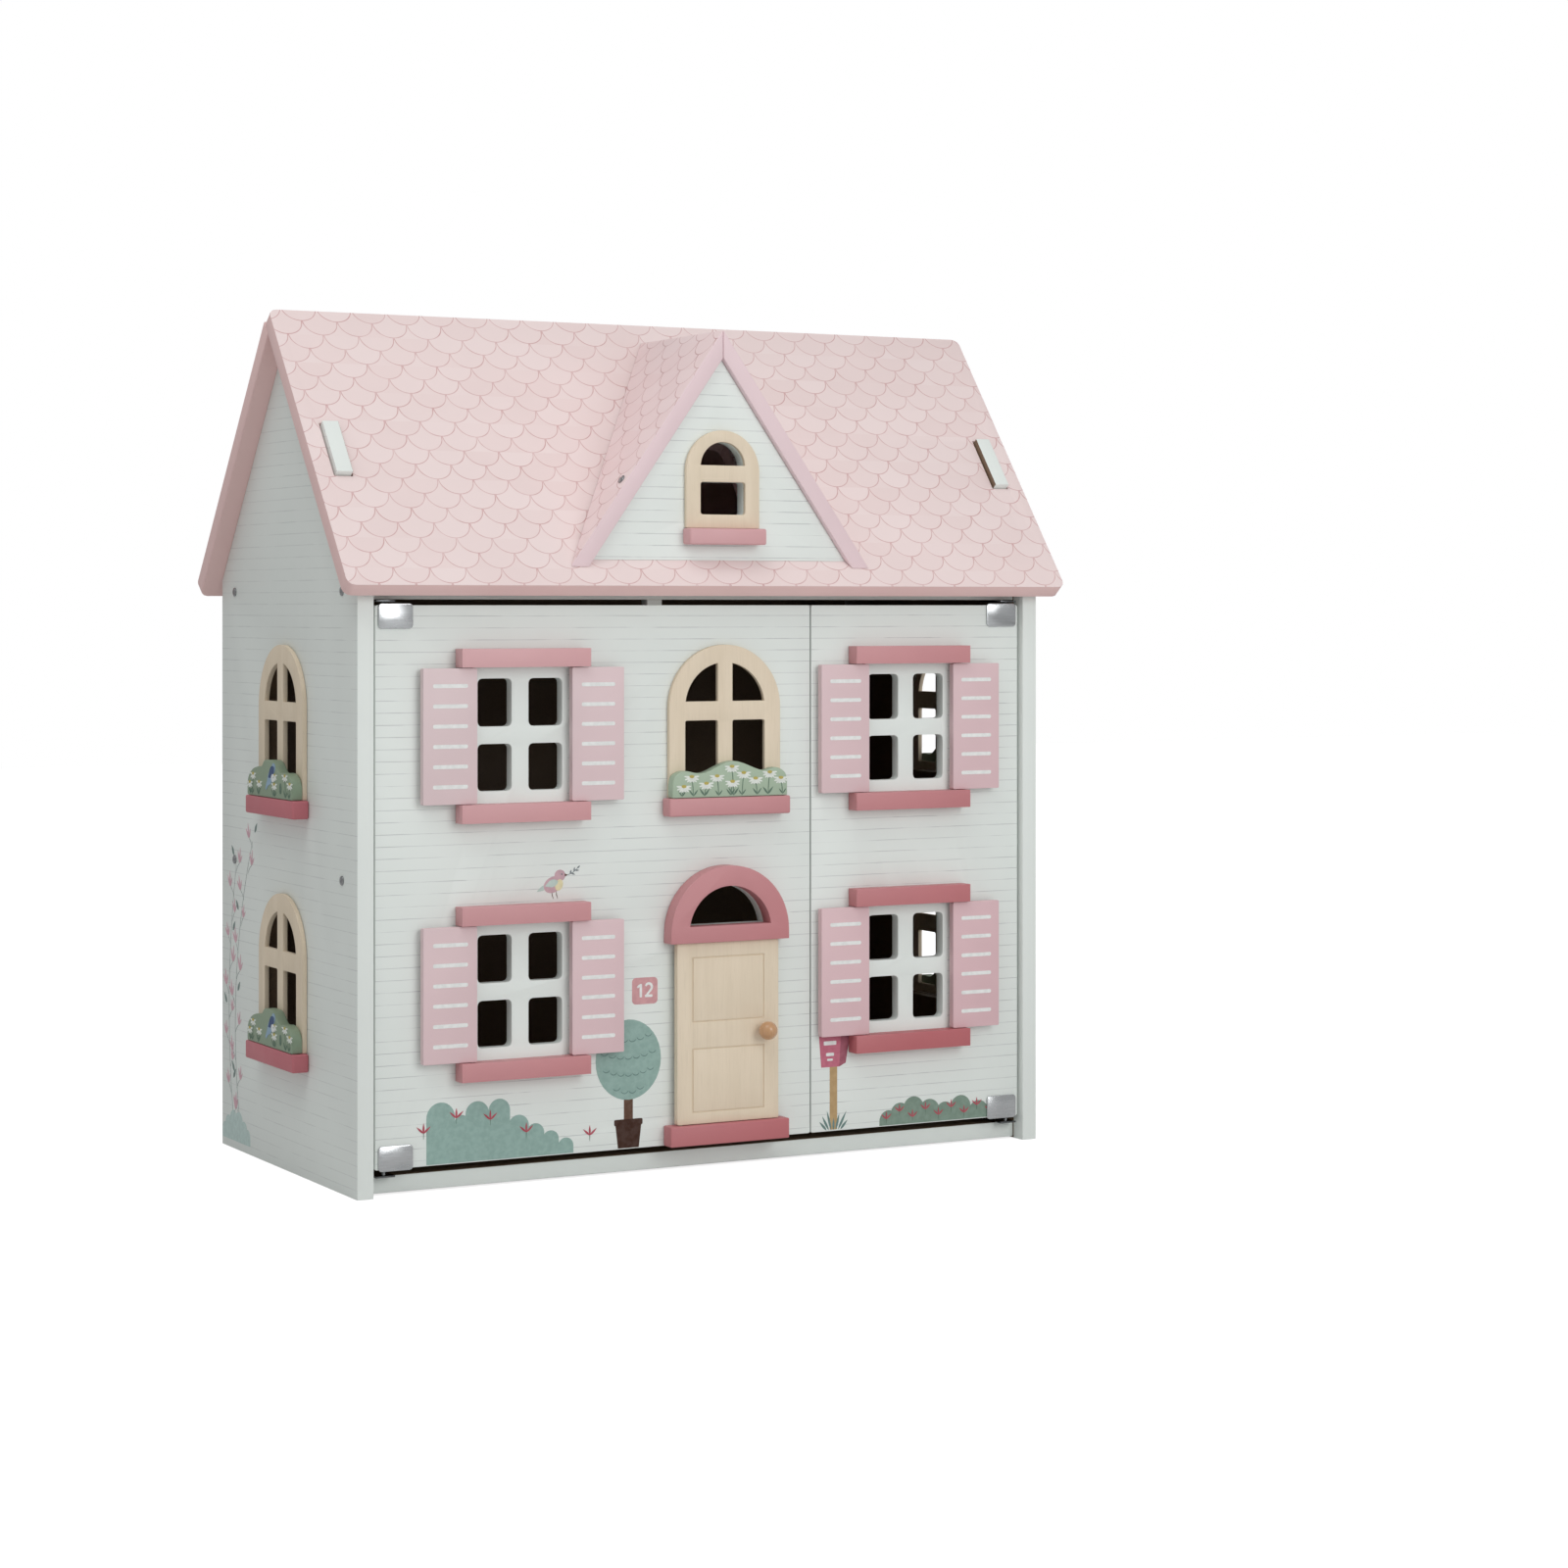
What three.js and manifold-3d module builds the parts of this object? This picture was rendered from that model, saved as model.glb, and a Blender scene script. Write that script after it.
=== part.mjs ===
// A wooden dollhouse with two floors and an attic: a board carcass, two front doors that carry the
// facade's windows, a hinged front roof with a dormer, and hinged shutters and a hinged entrance door.
// Millimetres. X runs to the right along the front, the front faces -Y, and Z is up.
// The origin is on the ground, under the middle of the house.
import * as THREE from "three";
import { mergeVertices } from "three/addons/utils/BufferGeometryUtils.js";
import Module from "manifold-3d";

const wasm = await Module();
wasm.setup();

// ---- Driving dimensions ----
const houseWidth = 560; // over the outsides of the side panels
const houseDepth = 282; // front edge to back edge of a side panel
const board = 12; // carcass and roof boards
const doorBoard = 9; // door panels and the dormer's front
const backBoard = 5;
const gap = 0.3; // between pieces that are glued or screwed together

const roofPitch = THREE.MathUtils.degToRad(51.8);
const roofLength = 256.7; // eave to ridge along the slope
const eaveOverhang = 19.4; // in front of the side panels
const eaveHeight = 427.4; // top edge of the roof board's lower end
const roofSideOverhang = 14.5;
const roofCorner = 6;

const atticFloorBase = 417.3;
const middleFloorBase = 214;
const baseBoardLift = 1;

const doorRecess = 4; // door faces sit behind the side panels' front edges
const doorBottom = 19;
const doorTop = 413.3;
const doorSideGap = 2.7; // to the side panels
const meetingX = 82.3; // where the two doors meet
const meetingGap = 1.4;

const upperWindowBase = 259.4; // underside of the upper sills
const lowerWindowBase = 77.3; // underside of the lower sills
const leftWindowX = -154.8;
const rightWindowX = 165;
const entranceX = 8.4; // centre of the entrance door and of the arched window over it
const sideWindowY = 3;

// ---- Values that follow ----
const frontY = -houseDepth / 2;
const doorFaceY = frontY + doorRecess;
const doorBackY = doorFaceY + doorBoard;
const floorFrontY = doorBackY + 0.5;
const backPanelY = houseDepth / 2 - backBoard - 1;
const innerX = houseWidth / 2 - board;
const eaveY = frontY - eaveOverhang;
const roofHalfWidth = houseWidth / 2 + roofSideOverhang;
const slopeCos = Math.cos(roofPitch);
const slopeSin = Math.sin(roofPitch);

// ---- Materials ----
const finish = (color, roughness, metalness = 0) =>
  new THREE.MeshStandardMaterial({ color, roughness, metalness });
const whitePaint = finish(0xe2e4e0, 0.55);
const roofPaint = finish(0xe9cfce, 0.55);
const trimPaint = finish(0xcf8f98, 0.5);
const shutterPaint = finish(0xdcb9be, 0.5);
const hedgePaint = finish(0xa7bba6, 0.6);
const bareWood = finish(0xe0caa6, 0.6);
const knobWood = finish(0xb98a5e, 0.5);
const steel = finish(0xb9bcbd, 0.3, 0.9);

// ---- Solids ----
function toSolid(geometry) {
  const bare = geometry.index ? geometry.toNonIndexed() : geometry.clone();
  bare.deleteAttribute("normal");
  bare.deleteAttribute("uv");
  const merged = mergeVertices(bare, 1e-4);
  return new wasm.Manifold(
    new wasm.Mesh({
      numProp: 3,
      vertProperties: merged.attributes.position.array,
      triVerts: new Uint32Array(merged.index.array),
    }),
  );
}

function toGeometry(solid) {
  const mesh = solid.getMesh();
  const geometry = new THREE.BufferGeometry();
  const position = new THREE.BufferAttribute(new Float32Array(mesh.vertProperties), 3);
  geometry.setAttribute("position", position);
  geometry.setIndex(new THREE.BufferAttribute(new Uint32Array(mesh.triVerts), 1));
  geometry.computeVertexNormals();
  return geometry;
}

const cut = (geometry, ...tools) =>
  toGeometry(tools.reduce((solid, tool) => solid.subtract(toSolid(tool)), toSolid(geometry)));
const join = (geometry, ...more) =>
  toGeometry(more.reduce((solid, other) => solid.add(toSolid(other)), toSolid(geometry)));
const overlapOf = (geometry, other) => toGeometry(toSolid(geometry).intersect(toSolid(other)));

function box(x0, x1, y0, y1, z0, z1) {
  const geometry = new THREE.BoxGeometry(x1 - x0, y1 - y0, z1 - z0);
  return geometry.translate((x0 + x1) / 2, (y0 + y1) / 2, (z0 + z1) / 2);
}

// An upright round bar from z0 to z1.
function bar(x, y, z0, z1, radius, sides = 16) {
  const geometry = new THREE.CylinderGeometry(radius, radius, z1 - z0, sides);
  return geometry.rotateX(Math.PI / 2).translate(x, y, (z0 + z1) / 2);
}

// A round bar along X.
function crossBar(x0, x1, radius, sides = 16) {
  const geometry = new THREE.CylinderGeometry(radius, radius, x1 - x0, sides);
  return geometry.rotateZ(Math.PI / 2).translate((x0 + x1) / 2, 0, 0);
}

// ---- Outlines ----
const point = (x, y) => new THREE.Vector2(x, y);

function arc(cx, cy, radius, from, to, steps) {
  const points = [];
  for (let i = 0; i <= steps; i += 1) {
    const angle = from + ((to - from) * i) / steps;
    points.push(point(cx + radius * Math.cos(angle), cy + radius * Math.sin(angle)));
  }
  return points;
}

function roundedRect(x0, x1, y0, y1, radius, steps = 3) {
  const quarter = Math.PI / 2;
  return [
    ...arc(x1 - radius, y1 - radius, radius, 0, quarter, steps),
    ...arc(x0 + radius, y1 - radius, radius, quarter, 2 * quarter, steps),
    ...arc(x0 + radius, y0 + radius, radius, 2 * quarter, 3 * quarter, steps),
    ...arc(x1 - radius, y0 + radius, radius, 3 * quarter, 4 * quarter, steps),
  ];
}

// Straight sides up from y0 and a half-round top of the same width.
function archOutline(cx, width, y0, top, steps = 32) {
  const radius = width / 2;
  const round = arc(cx, top - radius, radius, 0, Math.PI, steps);
  return [point(cx - radius, y0), point(cx + radius, y0), ...round];
}

// The part of a circle above a level line.
function domeOutline(cx, cy, radius, level, steps = 24) {
  const start = Math.asin((level - cy) / radius);
  return arc(cx, cy, radius, start, Math.PI - start, steps);
}

// The part of a circle above a level line and on one side of a bar through its middle.
function quarterOutline(cx, cy, radius, level, barHalf, side, steps = 12) {
  const low = Math.asin((level - cy) / radius);
  const high = Math.acos(barHalf / radius);
  const round = arc(0, cy, radius, low, high, steps).map((p) => point(cx + side * p.x, p.y));
  return [point(cx + side * barHalf, level), ...round];
}

function plate(outline, holes, depth) {
  const shape = new THREE.Shape(outline);
  for (const hole of holes) shape.holes.push(new THREE.Path(hole));
  return new THREE.ExtrudeGeometry(shape, { depth, bevelEnabled: false, steps: 1 });
}

// A plate drawn in X and Z, from y0 back to y0 + depth.
const frontPlate = (outline, holes, y0, depth) =>
  plate(outline, holes, depth).rotateX(Math.PI / 2).translate(0, y0 + depth, 0);

// A plate drawn in Y and Z, from x0 to x0 + depth.
const sidePlate = (outline, holes, x0, depth) =>
  plate(outline, holes, depth).rotateX(Math.PI / 2).rotateZ(Math.PI / 2).translate(x0, 0, 0);

// ---- Scene graph ----
const house = new THREE.Group();

function add(parent, name, geometry, material) {
  const mesh = new THREE.Mesh(geometry, material);
  mesh.name = name;
  parent.add(mesh);
  return mesh;
}

function addGroup(parent, x, y, z) {
  const group = new THREE.Group();
  group.position.set(x, y, z);
  parent.add(group);
  return group;
}

// A frame on a roof slope: X along the eave, Y up the slope and Z out of the roof's outer face.
function slopeFrame(parent) {
  const slope = addGroup(parent, 0, eaveY, eaveHeight);
  slope.rotation.x = roofPitch;
  return slope;
}

const frontSlope = slopeFrame(house);
const rearHalf = addGroup(house, 0, 0, 0);
rearHalf.rotation.z = Math.PI;
const rearSlope = slopeFrame(rearHalf);

// The point of the YZ plane at a distance up the front slope and a height over its outer face.
const onSlope = (distance, height) =>
  point(
    eaveY + distance * slopeCos - height * slopeSin,
    eaveHeight + distance * slopeSin + height * slopeCos,
  );

// ---- Arched windows: frame, sill and planter ----
// Drawn on a wall face at y = 0 that looks to -Y, with z = 0 at the sill's underside.
const sillWidth = 100;
const sillHeight = 13.2;
const blockDepth = 12.5; // of every sill, lintel, fanlight and doorstep
const archWidth = 92;
const archTop = 125;
const archThickness = 3.5;
const archOverlap = 6; // how far the frame covers the wall around its cut-out
const archSpring = archTop - archWidth / 2;
const archBorder = 13;
const barHalf = 6;
const crossBarLow = 69.5;
const crossBarHigh = 83.4;

const archCutout = (cx, base) =>
  archOutline(
    cx,
    archWidth - 2 * archOverlap,
    base + sillHeight + archOverlap,
    base + archTop - archOverlap,
  );

function archFrame() {
  const paneRadius = archWidth / 2 - archBorder;
  const paneLow = sillHeight + archBorder;
  const corner = 1.5;
  const panes = [-1, 1].flatMap((side) => {
    const inner = side * barHalf;
    const outer = side * paneRadius;
    const low = Math.min(inner, outer);
    const high = Math.max(inner, outer);
    return [
      roundedRect(low, high, paneLow, crossBarLow, corner),
      quarterOutline(0, archSpring, paneRadius, crossBarHigh, barHalf, side),
    ];
  });
  const outline = archOutline(0, archWidth, sillHeight + gap, archTop);
  return frontPlate(outline, panes, -gap - archThickness, archThickness);
}

// ---- Planters: a cut-out hedge that stands on the sill ----
const hedgeThickness = 8.2;
const hedgeFront = -2 * gap - archThickness - hedgeThickness;
const hedgeBase = sillHeight + gap;

// Upright ends and a waved top edge, which runs from right to left. Heights are measured from the sill.
function hedge(topEdge) {
  const wave = new THREE.SplineCurve(topEdge).getPoints(44);
  const right = topEdge[0].x;
  const left = topEdge[topEdge.length - 1].x;
  const outline = [
    point(left, hedgeBase),
    point(right, hedgeBase),
    ...wave.map((p) => point(p.x, hedgeBase + p.y)),
  ];
  return frontPlate(outline, [], hedgeFront, hedgeThickness);
}

// Almost level, with one soft hump in the middle.
const meadowHedge = () =>
  hedge([
    point(47.5, 11),
    point(45.5, 17),
    point(38, 20.8),
    point(26, 19),
    point(2, 26.2),
    point(-22, 17.9),
    point(-37, 19.6),
    point(-45, 16.5),
    point(-47.5, 10),
  ]);

// A flat-topped middle with a lower rounded shoulder on each side.
const bushHedge = () =>
  hedge([
    point(47, 9),
    point(44, 14.5),
    point(38, 18),
    point(31, 19.2),
    point(20, 19),
    point(8.5, 26.3),
    point(-1, 27.2),
    point(-10.5, 26.8),
    point(-16.5, 22.4),
    point(-25, 21.8),
    point(-36, 19.5),
    point(-44, 14.5),
    point(-47, 9),
  ]);

const sillBlock = () =>
  box(-sillWidth / 2, sillWidth / 2, -blockDepth - gap, -gap, 0, sillHeight);

function addArchedWindow(wall, name, planter) {
  add(wall, name + "_frame", archFrame(), bareWood);
  add(wall, name + "_sill", sillBlock(), trimPaint);
  add(wall, name + "_hedge", planter, hedgePaint);
}

// ---- Carcass ----
const tabLow = 99.4; // the roof tab's lower end, up the slope
const tabHigh = 146.3;
const tabRise = 4; // over the roof's outer face
const seatDepth = board + 0.4; // roof seat below the roof's outer face

function sidePanelOutline() {
  const seatLevel = (y) => eaveHeight + ((y - eaveY) * slopeSin - seatDepth) / slopeCos;
  return [
    point(-frontY, 0),
    point(-frontY, seatLevel(frontY)),
    point(0, seatLevel(0)),
    onSlope(tabHigh, -seatDepth),
    onSlope(tabHigh, tabRise),
    onSlope(tabLow, tabRise),
    onSlope(tabLow, -seatDepth),
    point(frontY, seatLevel(frontY)),
    point(frontY, 0),
  ];
}

function addSidePanel(name, x0) {
  const cutouts = [lowerWindowBase, upperWindowBase].map((base) => archCutout(sideWindowY, base));
  add(house, name, sidePlate(sidePanelOutline(), cutouts, x0, board), whitePaint);
}

function addSideWindows(side, wallX, turn) {
  const floors = { upper: upperWindowBase, lower: lowerWindowBase };
  for (const [floor, base] of Object.entries(floors)) {
    const wall = addGroup(house, wallX, sideWindowY, base);
    wall.rotation.z = turn;
    addArchedWindow(wall, `${side}_side_${floor}_window`, bushHedge());
  }
}

// The block under the attic floor that the left door closes against.
function doorStop() {
  const x = -43;
  const half = 6;
  const depth = 10;
  const drop = 14; // below the attic floor
  const low = atticFloorBase - drop;
  return box(x - half, x + half, floorFrontY, floorFrontY + depth, low, atticFloorBase + 1);
}

function addCarcass() {
  const span = innerX - gap;
  const rear = backPanelY - gap;
  const shelf = (front, z) => box(-span, span, front, rear, z, z + board);
  // The middle floor stands back from the corners of the doors as they swing.
  const doorCornerRadius = Math.hypot(pivotInset, doorBoard / 2);
  const middleFloorFront = pivotY + doorCornerRadius + 0.6;
  addSidePanel("side_panel_left", -houseWidth / 2);
  addSidePanel("side_panel_right", innerX);
  add(house, "base_board", shelf(floorFrontY, baseBoardLift), whitePaint);
  add(house, "middle_floor", shelf(middleFloorFront, middleFloorBase), whitePaint);
  add(house, "attic_floor", join(shelf(floorFrontY, atticFloorBase), doorStop()), whitePaint);
  const eaveLevel = eaveHeight + (eaveOverhang * slopeSin - seatDepth) / slopeCos;
  const back = box(-span, span, backPanelY, backPanelY + backBoard, baseBoardLift, eaveLevel);
  add(house, "back_panel", back, whitePaint);
  addSideWindows("left", -houseWidth / 2, -Math.PI / 2);
  addSideWindows("right", houseWidth / 2, Math.PI / 2);
}

// ---- Roof ----
const slotClearance = 1.2;
const hatchHalf = 42; // opening behind the dormer
const hatchLow = 52;
const hatchHigh = 142;
const hatchCorner = 8;
const dormerX = 2;
const roofOutline = (top) => roundedRect(-roofHalfWidth, roofHalfWidth, 0, top, roofCorner);

function frontRoofPanel() {
  const slots = [-1, 1].map((side) => {
    const middle = side * (houseWidth / 2 - board / 2);
    const half = board / 2 + slotClearance;
    return roundedRect(
      middle - half,
      middle + half,
      tabLow - slotClearance,
      tabHigh + slotClearance,
      1,
    );
  });
  const hatchLeft = dormerX - hatchHalf;
  const hatchRight = dormerX + hatchHalf;
  const hatch = roundedRect(hatchLeft, hatchRight, hatchLow, hatchHigh, hatchCorner);
  return plate(roofOutline(roofLength), [...slots, hatch], board).translate(0, 0, -board);
}

// The rear board's top end is mitred to lie along the front board's underside.
function rearRoofPanel() {
  const innerTop = (-eaveY - board * slopeSin) / slopeCos - 0.6;
  const outerTop = innerTop - board / Math.tan(2 * roofPitch);
  const profile = [point(0, -board), point(innerTop, -board), point(outerTop, 0), point(0, 0)];
  const wedge = sidePlate(profile, [], -roofHalfWidth, 2 * roofHalfWidth);
  const corners = roofOutline(roofLength + roofCorner);
  return overlapOf(wedge, plate(corners, [], 2 * board).translate(0, 0, -1.5 * board));
}

// ---- Ridge hinge: a long butt hinge whose barrel lies behind the ridge ----
const hingeHalf = 180;
const knuckles = 9;
const knuckleGap = 0.3; // between a knuckle's end and its place in the other leaf
const barrelRadius = 2;
const barrelBore = 1.1;
const barrelPin = 0.8;
const leafLength = 10;
const leafThickness = 0.9;
const leafOffset = 1.95; // from the barrel's axis to the leaf's inner face
const ridgeAxisY = 9.3; // the axis lies just outside the corner where the two boards meet
const ridgeAxisZ = 623.1;

// A leaf lies towards local +Y from the barrel's axis, which is local X.
function hingeLeaf(firstKnuckle, withPin, leafSide) {
  const pitchX = (2 * hingeHalf) / knuckles;
  const inner = leafSide * leafOffset;
  const outer = leafSide * (leafOffset - leafThickness);
  const leaf = box(
    -hingeHalf,
    hingeHalf,
    0,
    leafLength,
    Math.min(inner, outer),
    Math.max(inner, outer),
  );
  const reliefs = [];
  const tubes = [];
  for (let i = 0; i < knuckles; i += 1) {
    const x0 = -hingeHalf + i * pitchX;
    if (i % 2 === firstKnuckle) {
      tubes.push(crossBar(x0 + knuckleGap, x0 + pitchX - knuckleGap, barrelRadius));
    } else {
      reliefs.push(box(x0 - 0.1, x0 + pitchX + 0.1, -1, barrelRadius + 2 * knuckleGap, -3, 3));
    }
  }
  const bore = crossBar(-hingeHalf - 1, hingeHalf + 1, barrelBore);
  const pin = crossBar(-hingeHalf + 0.5, hingeHalf - 0.5, barrelPin);
  const body = cut(leaf, ...reliefs);
  const withTubes = join(body, ...tubes);
  return withPin ? join(withTubes, pin) : cut(withTubes, bore);
}

function addRidgeHinge() {
  const fixed = addGroup(house, 0, ridgeAxisY, ridgeAxisZ);
  fixed.rotation.x = -roofPitch;
  add(fixed, "ridge_hinge_fixed_leaf", hingeLeaf(0, true, -1), steel);
  const moving = addGroup(house, 0, ridgeAxisY, ridgeAxisZ);
  moving.rotation.x = roofPitch + Math.PI / 2;
  add(moving, "ridge_hinge_moving_leaf", hingeLeaf(1, false, 1), steel);
}

// ---- Dormer ----
const dormerRoofY = frontY - 9.4; // front edges of the dormer's roof boards
const dormerWallY = frontY - 5;
const dormerApex = 614.9;
const dormerFoot = 440;
const dormerHalf = 123.9;
const dormerRoofDepth = 190; // past the place where the boards meet the main roof
const dormerPitch = Math.atan2(dormerApex - dormerFoot, dormerHalf);
const dormerDrop = board / Math.cos(dormerPitch); // the boards' thickness measured upright
const dormerInset = board / Math.sin(dormerPitch); // and measured level

// A block that fills everything under the front slope's outer face, lifted by the gap.
function underRoof() {
  const block = box(-roofHalfWidth, roofHalfWidth, -80, roofLength + 80, -300, gap);
  return block.rotateX(roofPitch).translate(0, eaveY, eaveHeight);
}

function dormerRoof(side) {
  const outline = [
    point(dormerX + side * (gap / 2), dormerApex),
    point(dormerX + side * dormerHalf, dormerFoot),
    point(dormerX + side * (dormerHalf - dormerInset), dormerFoot),
    point(dormerX + side * (gap / 2), dormerApex - dormerDrop),
  ];
  return cut(frontPlate(outline, [], dormerRoofY, dormerRoofDepth), underRoof());
}

const dormerWindowHalf = 30.2;
const dormerPaneHalf = 18.4;
const dormerSillBase = 457.6;
const dormerSillHeight = 11.8;
const dormerSillHalf = 31.5;
const dormerWindowTop = 541.4;
const dormerPaneBase = 479.7;
const dormerBarLow = 503.5;
const dormerBarHigh = 515.7;
const dormerPaneTop = 532.8;

function dormerPanes() {
  const left = dormerX - dormerPaneHalf;
  const right = dormerX + dormerPaneHalf;
  const square = roundedRect(left, right, dormerPaneBase, dormerBarLow, 2);
  const domeCentre = dormerPaneTop - dormerPaneHalf;
  return [square, domeOutline(dormerX, domeCentre, dormerPaneHalf, dormerBarHigh)];
}

function dormerFront() {
  const innerApex = dormerApex - dormerDrop - gap / Math.cos(dormerPitch);
  const rise = Math.tan(dormerPitch);
  const low = dormerFoot - 10;
  const half = (innerApex - low) / rise;
  const outline = [point(dormerX - half, low), point(dormerX + half, low), point(dormerX, innerApex)];
  return cut(frontPlate(outline, dormerPanes(), dormerWallY, doorBoard), underRoof());
}

function dormerWindow() {
  const low = dormerSillBase + dormerSillHeight + gap;
  const outline = archOutline(dormerX, 2 * dormerWindowHalf, low, dormerWindowTop, 24);
  return frontPlate(outline, dormerPanes(), dormerWallY - gap - archThickness, archThickness);
}

function dormerSill() {
  const x0 = dormerX - dormerSillHalf;
  const x1 = dormerX + dormerSillHalf;
  const high = dormerSillBase + dormerSillHeight;
  const back = dormerWallY - gap;
  return box(x0, x1, back - blockDepth, back, dormerSillBase, high);
}

function addRoof() {
  add(frontSlope, "front_roof_panel", frontRoofPanel(), roofPaint);
  add(rearSlope, "rear_roof_panel", rearRoofPanel(), roofPaint);
  add(house, "dormer_roof_left", dormerRoof(-1), roofPaint);
  add(house, "dormer_roof_right", dormerRoof(1), roofPaint);
  add(house, "dormer_front", dormerFront(), whitePaint);
  add(house, "dormer_window_frame", dormerWindow(), bareWood);
  add(house, "dormer_sill", dormerSill(), trimPaint);
  addRidgeHinge();
}

// ---- Shuttered windows ----
// Drawn on a wall face at y = 0 that looks to -Y, with z = 0 at the sill's underside.
const lintelBase = 110;
const shutterWidth = 41;
const shutterThickness = 5.5;
const shutterInner = 37; // from the window's middle to an open shutter's inner edge
const pivotMargin = 3; // from that edge to the pivot pins
const pivotDepth = 6.25; // the pins' distance in front of the wall
const pinRadius = 1.25;
const pinBore = 1.6;
const pinLength = 4;
const pinRoot = 2; // how far a pin reaches into the board that it is fixed in
const swingGap = 0.5; // above and below a shutter or the entrance door

const paneOuter = 33; // from the window's middle
const paneInner = 6.5;
const paneCorner = 3.5;
const paneRows = [
  [21.8, 55.4],
  [67.7, 101.9],
];

// The four panes of a shuttered window, cut straight through the door panel.
function windowPanes(cx, base) {
  return paneRows.flatMap(([low, high]) =>
    [-1, 1].map((side) => {
      const x0 = Math.min(side * paneInner, side * paneOuter);
      const x1 = Math.max(side * paneInner, side * paneOuter);
      return roundedRect(cx + x0, cx + x1, base + low, base + high, paneCorner);
    }),
  );
}

function railBlock(z0, boreLow, boreHigh) {
  const block = sillBlock().translate(0, 0, z0);
  const x = shutterInner + pivotMargin;
  const bores = [-x, x].map((at) => bar(at, -pivotDepth, boreLow, boreHigh, pinBore, 12));
  return cut(block, ...bores);
}

function shutter(side) {
  const near = side * shutterInner;
  const far = side * (shutterInner + shutterWidth);
  const low = sillHeight + swingGap;
  const high = lintelBase - swingGap;
  const outline = roundedRect(Math.min(near, far), Math.max(near, far), low, high, 1);
  const front = -pivotDepth - shutterThickness / 2;
  const pinX = side * (shutterInner + pivotMargin);
  const lowPin = bar(pinX, -pivotDepth, low - pinLength, low + pinRoot, pinRadius, 12);
  const highPin = bar(pinX, -pivotDepth, high - pinRoot, high + pinLength, pinRadius, 12);
  return join(frontPlate(outline, [], front, shutterThickness), lowPin, highPin);
}

function addShutteredWindow(x, base, name) {
  const wall = addGroup(house, x, doorFaceY, base);
  const boreDepth = pinLength + 1;
  add(wall, name + "_sill", railBlock(0, sillHeight - boreDepth, sillHeight + 1), trimPaint);
  add(wall, name + "_lintel", railBlock(lintelBase, lintelBase - 1, lintelBase + boreDepth), trimPaint);
  add(wall, name + "_left_shutter", shutter(-1), shutterPaint);
  add(wall, name + "_right_shutter", shutter(1), shutterPaint);
}

// ---- Doors ----
const pivotInset = 8; // from a door's outer edge to its pivot pins
const pivotY = doorFaceY + doorBoard / 2;
const doorPinRadius = 1.5;
const doorPinBore = 2;
const doorPinDepth = 8; // how far a pin reaches into the door
const plateThickness = 1;
const plateWidth = 26;
const plateHeight = 17.6;
const plateInset = 2; // from the door's outer edge
const plateCorner = 2.5;
const stripHalf = 7; // half the width of a pivot's steel strip
const stripReach = 22; // how far the strip reaches over the floor board
const stripThickness = 1.2;

const doors = {
  left: { outerX: -innerX + doorSideGap, meetX: meetingX - meetingGap / 2, side: -1 },
  right: { outerX: innerX - doorSideGap, meetX: meetingX + meetingGap / 2, side: 1 },
};
const pivotX = (door) => door.outerX - door.side * pivotInset;

function doorPanel(door, holes) {
  const x0 = Math.min(door.outerX, door.meetX);
  const x1 = Math.max(door.outerX, door.meetX);
  const outline = roundedRect(x0, x1, doorBottom, doorTop, 0.8, 1);
  const panel = frontPlate(outline, holes, doorFaceY, doorBoard);
  const reach = doorPinDepth + 1;
  const highBore = bar(pivotX(door), pivotY, doorTop - reach, doorTop + 1, doorPinBore);
  const lowBore = bar(pivotX(door), pivotY, doorBottom - 1, doorBottom + reach, doorPinBore);
  return cut(panel, highBore, lowBore);
}

// The bent steel plate on a door's corner: one flange on the face and one over the edge, which the
// pivot pin goes through. up is 1 at the top corner and -1 at the bottom corner.
function cornerPlate(door, up) {
  const edge = up > 0 ? doorTop : doorBottom;
  const xOuter = door.outerX - door.side * plateInset;
  const xInner = xOuter - door.side * plateWidth;
  const x0 = Math.min(xOuter, xInner);
  const x1 = Math.max(xOuter, xInner);
  const over = edge + up * (gap + plateThickness);
  const down = edge - up * (plateHeight - plateThickness - gap);
  const faceLow = Math.min(over, down);
  const faceHigh = Math.max(over, down);
  const faceOutline = roundedRect(x0, x1, faceLow, faceHigh, plateCorner);
  const face = frontPlate(faceOutline, [], doorFaceY - gap - plateThickness, plateThickness);
  const flangeLow = Math.min(over, edge + up * gap);
  const flangeHigh = Math.max(over, edge + up * gap);
  const flangeFront = doorFaceY - gap - plateThickness / 2;
  const flangeLeft = x0 + plateCorner;
  const flangeRight = x1 - plateCorner;
  const flange = box(flangeLeft, flangeRight, flangeFront, doorBackY, flangeLow, flangeHigh);
  const hole = bar(pivotX(door), pivotY, flangeLow - 1, flangeHigh + 1, doorPinBore);
  return cut(join(face, flange), hole);
}

// The carcass's half of a pivot: a steel strip on a floor board, with the pin riveted into its end.
function pivotBracket(door, up) {
  const seat = up > 0 ? atticFloorBase - gap : baseBoardLift + board + gap;
  const far = seat - up * stripThickness;
  const low = Math.min(seat, far);
  const high = Math.max(seat, far);
  const x = pivotX(door);
  const strip = box(x - stripHalf, x + stripHalf, doorFaceY, floorFrontY + stripReach, low, high);
  const tip = up > 0 ? doorTop - doorPinDepth : doorBottom + doorPinDepth;
  const root = (seat + far) / 2;
  const pin = bar(x, pivotY, Math.min(tip, root), Math.max(tip, root), doorPinRadius, 12);
  return join(strip, pin);
}

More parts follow.
